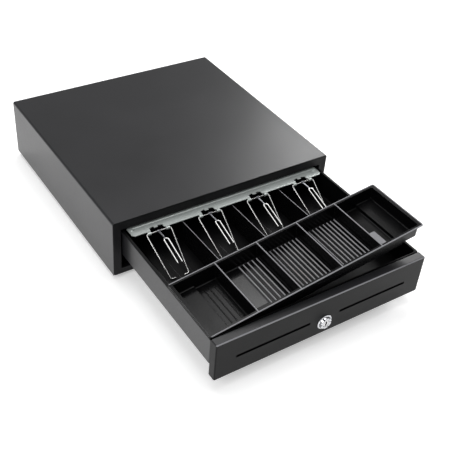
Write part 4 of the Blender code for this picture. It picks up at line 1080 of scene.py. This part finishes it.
# ---------------------------------------------------------------- coin tray
class CASHDRAWER_OT_coin_tray(bpy.types.Operator):
    """Five-pocket coin tray, its right-hand end lifted"""
    bl_idname = "cash_drawer.coin_tray"
    bl_label = "Coin tray"

    def execute(self, context):
        tray = context.scene.cash_drawer_tray
        half, rim, wall = TILL_HIGH.x, 0.0018, 0.0016
        seat = TILL_HIGH.z + GAP
        y0, y1 = TILL_LOW.y, DIVIDERS[0][0].y - GAP
        body, body_y0, body_y1 = half - 0.005, y0 + 0.003, y1 - 0.003
        bottom = TILL_LOW.z + TILL_WALL + 0.0156
        step_w, step_h, draft = 0.030, 0.0055, 0.0022
        crest = seat + rim
        top, past = crest - 0.0006, 0.01        # past: how far a cutting block stands out of the tray

        def ring(side, back, z, corner):
            return level(rounded(-side, side, body_y0 + back, body_y1 - back, corner), z)

        under = 0.0018
        rings = [ring(body - draft - under, draft + under, bottom, 0.003),
                 ring(body - draft - under * 0.3, draft + under * 0.3, bottom + under * 0.3, 0.0035),
                 ring(body - draft, draft, bottom + under, 0.004), ring(body, 0.0, seat, 0.005)]
        lip = 0.0005
        for inset, z in ((lip, seat), (0.0, seat), (0.0, top - lip), (lip, top)):
            side = half - inset
            rings.append(level(rounded(-side, side, y0 + inset, y1 - inset, 0.0035), z))
        bm = loft(bmesh.new(), rings)
        steps = bmesh.new()
        for side in (-1, 1):
            near, far = sorted((side * (body - step_w), side * (body + past)))
            block(steps, (near, y0 - past, bottom - past), (far, y1 + past, bottom + step_h), 0.0015)
        inner, floor = body - wall, bottom + wall
        pitch = (2 * inner + wall) / 5
        deep, shelf, pockets = bmesh.new(), bmesh.new(), []
        for bay in range(5):
            x0 = -inner + bay * pitch
            x1 = x0 + pitch - wall
            a = x0 + (step_w if bay == 0 else 0)
            b = x1 - (step_w if bay == 4 else 0)
            pockets.append((a, b))
            front, rear, brim = body_y0 + wall, body_y1 - wall, top + 0.002
            bowl(deep, (a, front, floor), (b, rear, brim), draft, tray.corner, tray.fillet)
            if bay in (0, 4):
                bowl(shelf, (x0, front, floor + step_h), (x1, rear, brim), draft, tray.corner, tray.fillet)

        def floor_part(bay, start, end):
            """Part of a pocket's flat floor, from one share of its width to another."""
            a, b = pockets[bay][0] + draft + tray.fillet, pockets[bay][1] - draft - tray.fillet
            return a + (b - a) * start, a + (b - a) * end

        lift = math.radians(8)      # the right-hand end is raised, and the left-hand rim stays on its seat
        tilt = (Matrix.Translation((-half, 0, seat)) @ Matrix.Rotation(-lift, 4, "Y")
                @ Matrix.Translation((half, 0, -seat)))
        piece("coin_tray_shell", bm, tray_abs(), "coin_tray", ["coin_tray"],
              [steps, deep, shelf], bevel=0.0004, smooth=45, place=tilt)
        beads, bead = bmesh.new(), 0.0010
        line = rounded(-half + bead, half - bead, y0 + bead, y1 - bead, 0.0028)
        sweep(beads, level(line, crest - bead), bead, 10, closed=True)
        for bay in range(1, 5):
            x = -inner + bay * pitch - wall / 2
            ends = (body_y0 - 0.001, body_y1 + 0.001)
            sweep(beads, [(x, y, crest - bead) for y in ends], bead, 10)
        # The rim beads take a pale finish: a painted highlight along the rims; the left-hand end keeps the
        # plain black moulding.
        piece("coin_tray_beads", beads, edge_abs(), "coin_tray", smooth=60, place=tilt,
              accents=[(moulded_abs(), lambda face: face.center.x < 0.003 - half)])

        rows = []
        span = body_y1 - body_y0 - 2 * wall - 2 * draft - 2 * tray.fillet
        for bay, start, height in ((0, 0.0, 0.7), (1, 0.5, 1.0), (2, 0.0, 1.0), (3, 0.0, 1.0)):
            a, b = floor_part(bay, start, 1.0)
            count = max(2, round((b - a) / tray.rib_pitch))
            rows.append(grow(rib_row, points_mesh([]), Count=count, Pitch=(b - a) / (count - 1), Length=span,
                             Width=0.0020, Height=tray.rib_height * height,
                             Start=(a, (body_y0 + body_y1) / 2, floor), Finish=rib_abs()))
        # The ribs take a pale finish: a painted highlight on each rib; those in the first pocket keep the
        # plain black moulding.
        piece("coin_floor_ribs", merged(*rows), rib_abs(), "coin_tray", smooth=60,
              place=tilt, accents=[(moulded_abs(), lambda face: face.center.x < pockets[0][1])])
        pads, depth, edge = bmesh.new(), body_y1 - body_y0, 0.0003
        for bay, start, end, front, rear in ((1, 0.0, 0.44, 0.2, 0.2), (4, 0.10, 0.72, 0.08, 0.56)):
            a, b = floor_part(bay, start, end)
            near, far = body_y0 + depth * front, body_y1 - depth * rear
            outline = rounded(a, b, near, far, 0.002)
            inset = rounded(a + edge, b - edge, near + edge, far - edge, 0.0018)
            loft(pads, [level(outline, floor - 0.0002), level(outline, floor + 0.0001),
                        level(inset, floor + 0.0004)])
        # The fifth pocket's pad takes the pale edge finish: a painted sheen on its floor.
        piece("coin_floor_pads", pads, moulded_abs(), "coin_tray", place=tilt,
              accents=[(edge_abs(), lambda face: face.center.x > pockets[4][0])])
        return {"FINISHED"}


# ---------------------------------------------------------------- lock
class CASHDRAWER_OT_lock(bpy.types.Operator):
    """Chrome key lock: scalloped bezel and turning plug with a keyway"""
    bl_idname = "cash_drawer.lock"
    bl_label = "Lock"

    def execute(self, context):
        lock = context.scene.cash_drawer_lock
        low, high = BARREL_LOW, BARREL_HIGH
        out, proud = (high.x - low.x) / 2, FRONT_LOW.y - low.y
        centre = Vector(((low.x + high.x) / 2, FRONT_LOW.y, (low.z + high.z) / 2))
        back = -(high.y - FRONT_LOW.y)
        plug_r = (PLUG_HIGH.x - PLUG_LOW.x) / 2
        bore, skirt = plug_r + GAP, out - 0.0026
        facing = Matrix.Translation(centre) @ Matrix.Rotation(math.pi / 2, 4, "X")

        def scallop(angle, radius):
            if radius < plug_r + 0.0012:
                return radius
            dip = max(0.0, math.cos(angle * lock.scallops) - 0.72) / 0.28
            return radius - lock.scallop_depth * dip ** 0.5 * (1.0 if radius < out - 0.0022 else 0.0)

        def in_notch(face):
            spot = face.center - centre
            radius, angle = math.hypot(spot.x, spot.z), math.atan2(spot.z, spot.x)
            return plug_r + 0.0014 < radius < skirt and math.cos(angle * lock.scallops) > 0.80

        neck = 0.0078       # the barrel behind the bezel
        profile = [
            (bore, back), (bore, proud - 0.0004), (bore + 0.0003, proud - 0.0001),
            (skirt - 0.0012, proud - 0.0001), (skirt - 0.0009, proud), (skirt - 0.0005, proud - 0.0002),
            (skirt, proud - 0.0010), (skirt + 0.0003, 0.0020), (skirt + 0.0006, 0.0016),
            (out - 0.0012, 0.0015), (out - 0.0004, 0.0013), (out, 0.0009), (out, 0.0003), (neck, 0.0003),
            (neck, back)]
        barrel = moved(lathe(bmesh.new(), profile, sides=144, closed=True, scallop=scallop), facing)
        # The bezel's notches are painted black: painted shade in the hollows.
        piece("lock_bezel", barrel, chrome(), "drawer", ["lock_barrel"], smooth=30,
              accents=[(dark_coat(), in_notch)])

        face = FRONT_LOW.y - PLUG_LOW.y
        end = -(PLUG_HIGH.y - FRONT_LOW.y)
        plug = lathe(bmesh.new(), [
            (0, end), (plug_r, end), (plug_r, face - 0.0005), (plug_r - 0.0005, face),
            (plug_r - 0.0014, face), (plug_r - 0.0017, face - 0.0002), (0, face - 0.0002)], sides=64)
        # The keyway's outline, with wards on its sides.
        key = [(-0.0017, -0.0040), (0.0007, -0.0040), (0.0007, -0.0018), (0.0021, -0.0014), (0.0021, 0.0006),
               (0.0015, 0.0010), (0.0015, 0.0040), (-0.0013, 0.0040), (-0.0013, 0.0020), (-0.0010, 0.0016),
               (-0.0010, -0.0006), (-0.0017, -0.0010)]
        way = loft(bmesh.new(), [level(key, face - 0.005), level(key, face + 0.002)])
        # The keyway's deep faces are painted black: painted shade in the hollow.
        piece("key_plug", moved(plug, facing), satin_chrome(), "lock_plug", ["lock_plug"],
              [moved(way, facing)], bevel=0.00012, smooth=30,
              accents=[(dark_coat(), lambda face: face.center.y > PLUG_LOW.y + 0.0003)])
        return {"FINISHED"}


# ---------------------------------------------------------------- rear gear
class CASHDRAWER_OT_rear_gear(bpy.types.Operator):
    """Signal socket, and the finishes of the latch, solenoid, ejector and switch"""
    bl_idname = "cash_drawer.rear_gear"
    bl_label = "Rear gear"

    def execute(self, context):
        low, high = box("signal_socket")
        middle = (low.x + high.x) / 2
        bm = block(bmesh.new(), low, high, 0.0005)
        # The plug's opening, the slot for its latch, and the slot's narrow foot.
        cuts = [
            block(bmesh.new(), (x0, high.y - deep, z0), (x1, high.y + 0.004, z1), corner)
            for x0, x1, deep, z0, z1, corner in (
                (low.x + 0.0022, high.x - 0.0022, 0.0120, low.z + 0.0042, high.z - 0.0022, 0.0002),
                (middle - 0.0032, middle + 0.0032, 0.0118, low.z + 0.0026, low.z + 0.0046, 0.0001),
                (middle - 0.0016, middle + 0.0016, 0.0116, low.z + 0.0014, low.z + 0.0030, 0.0001))]
        piece("signal_jack", bm, moulded_abs(), "case", ["signal_socket"], cuts,
              bevel=0.0002)
        pins, pin_pitch = 6, 0.00127
        start = (middle - (pins - 1) / 2 * pin_pitch, high.y - 0.0070, high.z - 0.0026)
        wires = grow(rib_row, points_mesh([]), Count=pins, Pitch=pin_pitch, Length=0.0095, Width=0.00045,
                     Height=0.0005, Start=start, Finish=gold_contact())
        piece("signal_contacts", wires, gold_contact(), "case", smooth=60)

        low, high = box("eject_spring")
        wire, turns, steps = 0.0007, 9, 18
        coil_r = (high.x - low.x) / 2 - wire
        reach = high.y - low.y - 2 * wire
        coil = []
        for step in range(turns * steps + 1):
            angle = 2 * math.pi * step / steps
            coil.append(((low.x + high.x) / 2 + coil_r * math.cos(angle),
                         low.y + wire + reach * step / (turns * steps),
                         (low.z + high.z) / 2 + coil_r * math.sin(angle)))
        spring = piece("eject_coil", sweep(bmesh.new(), coil, wire, 8), nickel_wire(), "case",
                       ["eject_spring"], smooth=60)
        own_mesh(spring)

        kept = {
            zinc: ["latch_bracket", "latch_lever", "solenoid_yoke", "strike_plate", "ejector_guide",
                   "lock_cam"],
            nickel_wire: ["latch_post", "solenoid_plunger", "strike_pin"],
            moulded_abs: ["ejector_pusher", "switch_body"],
            rubber: ["solenoid_lead", "switch_button"],
            brass: ["lock_nut"],
            coil_tape: ["solenoid_coil"],
        }
        for make, names in kept.items():
            for name in names:
                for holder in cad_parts[name].material_slots:
                    holder.material = make()
        return {"FINISHED"}


# ---------------------------------------------------------------- stage
WHITE = (1.0, 1.0, 1.0, 1.0)
LIGHTS = (      # name, place, edge in metres, watts
    ("back_right_box", (1.52, 1.10, 1.3), 0.8, 14.0),
    ("left_box", (-1.5, -0.7, 1.2), 1.0, 13.0),
    ("rear_box", (0.45, 1.15, 2.3), 0.45, 4.0),
    ("top_box", (0.1, 0.2, 2.2), 1.6, 24.0),
)
LIT_SPOT = Vector((0.0, 0.0, 0.05))     # where every light points
FLOOR_HALF = 6.0
FLOOR_GLOW = 0.33           # keeps the shadow on the white floor as faint as in a light tent
WORLD_STRENGTH = 0.42
VIEW_TARGET = Vector((-0.01624, CASE_LOW.y - 0.02942, 0.0580))
VIEW_FROM = Vector((-0.45617, -0.63232, 0.62618))       # direction from the target to the camera
VIEW_DISTANCE = 1.3110


class CASHDRAWER_OT_stage(bpy.types.Operator):
    """Pale floor, soft studio light and the camera"""
    bl_idname = "cash_drawer.stage"
    bl_label = "Stage"

    def execute(self, context):
        scene = context.scene
        stage = scene.cash_drawer_stage
        mesh = bpy.data.meshes.new("floor")
        corners = [(x * FLOOR_HALF, y * FLOOR_HALF, 0) for x, y in ((-1, -1), (1, -1), (1, 1), (-1, 1))]
        mesh.from_pydata(corners, [], [(0, 1, 2, 3)])
        floor = bpy.data.objects.new("floor", mesh)
        scene.collection.objects.link(floor)
        paint = bpy.data.materials.new("studio_floor")
        paint.use_nodes = True
        shader = paint.node_tree.nodes["Principled BSDF"]
        for key, value in (("Base Color", (*stage.floor, 1.0)), ("Roughness", 0.35),
                           ("Specular IOR Level", 0.3), ("Emission Color", WHITE),
                           ("Emission Strength", FLOOR_GLOW)):
            shader.inputs[key].default_value = value
        mesh.materials.append(paint)

        world = bpy.data.worlds.new("studio")
        world.use_nodes = True
        sky = world.node_tree.nodes["Background"]
        sky.inputs["Color"].default_value = WHITE
        sky.inputs["Strength"].default_value = WORLD_STRENGTH
        scene.world = world
        for name, place, size, power in LIGHTS:
            light = bpy.data.lights.new(name, "AREA")
            light.shape, light.size, light.energy = "SQUARE", size, power
            lamp = bpy.data.objects.new(name, light)
            lamp.location = place
            lamp.rotation_euler = (LIT_SPOT - Vector(place)).to_track_quat("-Z", "Y").to_euler()
            scene.collection.objects.link(lamp)

        camera = bpy.data.cameras.new("camera")
        camera.lens, camera.sensor_width = stage.lens, 36.0
        eye = bpy.data.objects.new("camera", camera)
        eye.location = VIEW_TARGET + VIEW_FROM.normalized() * VIEW_DISTANCE
        facing = (-VIEW_FROM).to_track_quat("-Z", "Y").to_matrix().to_4x4()
        turn = facing @ Matrix.Rotation(stage.roll, 4, "Z")
        eye.rotation_euler = turn.to_euler()
        scene.collection.objects.link(eye)
        scene.camera = eye
        scene.view_settings.view_transform = "Standard"
        return {"FINISHED"}


class CASHDRAWER_PT_panel(bpy.types.Panel):
    """The cash drawer's pieces and settings"""
    bl_idname = "CASHDRAWER_PT_panel"
    bl_label = "Cash drawer"
    bl_space_type = "VIEW_3D"
    bl_region_type = "UI"
    bl_category = "Cash drawer"

    def draw(self, context):
        for name, group in SETTINGS.items():
            holder = getattr(context.scene, name)
            for key in group.__annotations__:
                self.layout.prop(holder, key)
        for maker in OPERATORS:
            self.layout.operator(maker.bl_idname)


SETTINGS = {
    "cash_drawer_case": CaseSettings, "cash_drawer_drawer": DrawerSettings, "cash_drawer_till": TillSettings,
    "cash_drawer_tray": TraySettings, "cash_drawer_clips": ClipSettings, "cash_drawer_lock": LockSettings,
    "cash_drawer_stage": StageSettings,
}
OPERATORS = (
    CASHDRAWER_OT_cover, CASHDRAWER_OT_front_frame, CASHDRAWER_OT_case_back, CASHDRAWER_OT_feet,
    CASHDRAWER_OT_slides, CASHDRAWER_OT_drawer_front, CASHDRAWER_OT_drawer_box, CASHDRAWER_OT_till,
    CASHDRAWER_OT_clip_bracket, CASHDRAWER_OT_bill_clips, CASHDRAWER_OT_coin_tray, CASHDRAWER_OT_lock,
    CASHDRAWER_OT_rear_gear, CASHDRAWER_OT_stage,
)


def register():
    for kind in (*SETTINGS.values(), *OPERATORS, CASHDRAWER_PT_panel):
        bpy.utils.register_class(kind)
    for name, group in SETTINGS.items():
        setattr(bpy.types.Scene, name, PointerProperty(type=group))


def unregister():
    for name in SETTINGS:
        delattr(bpy.types.Scene, name)
    for kind in reversed((*SETTINGS.values(), *OPERATORS, CASHDRAWER_PT_panel)):
        bpy.utils.unregister_class(kind)


def main():
    register()
    for maker in OPERATORS:
        family, name = maker.bl_idname.split(".")
        getattr(getattr(bpy.ops, family), name)()


if __name__ == "__main__":
    main()
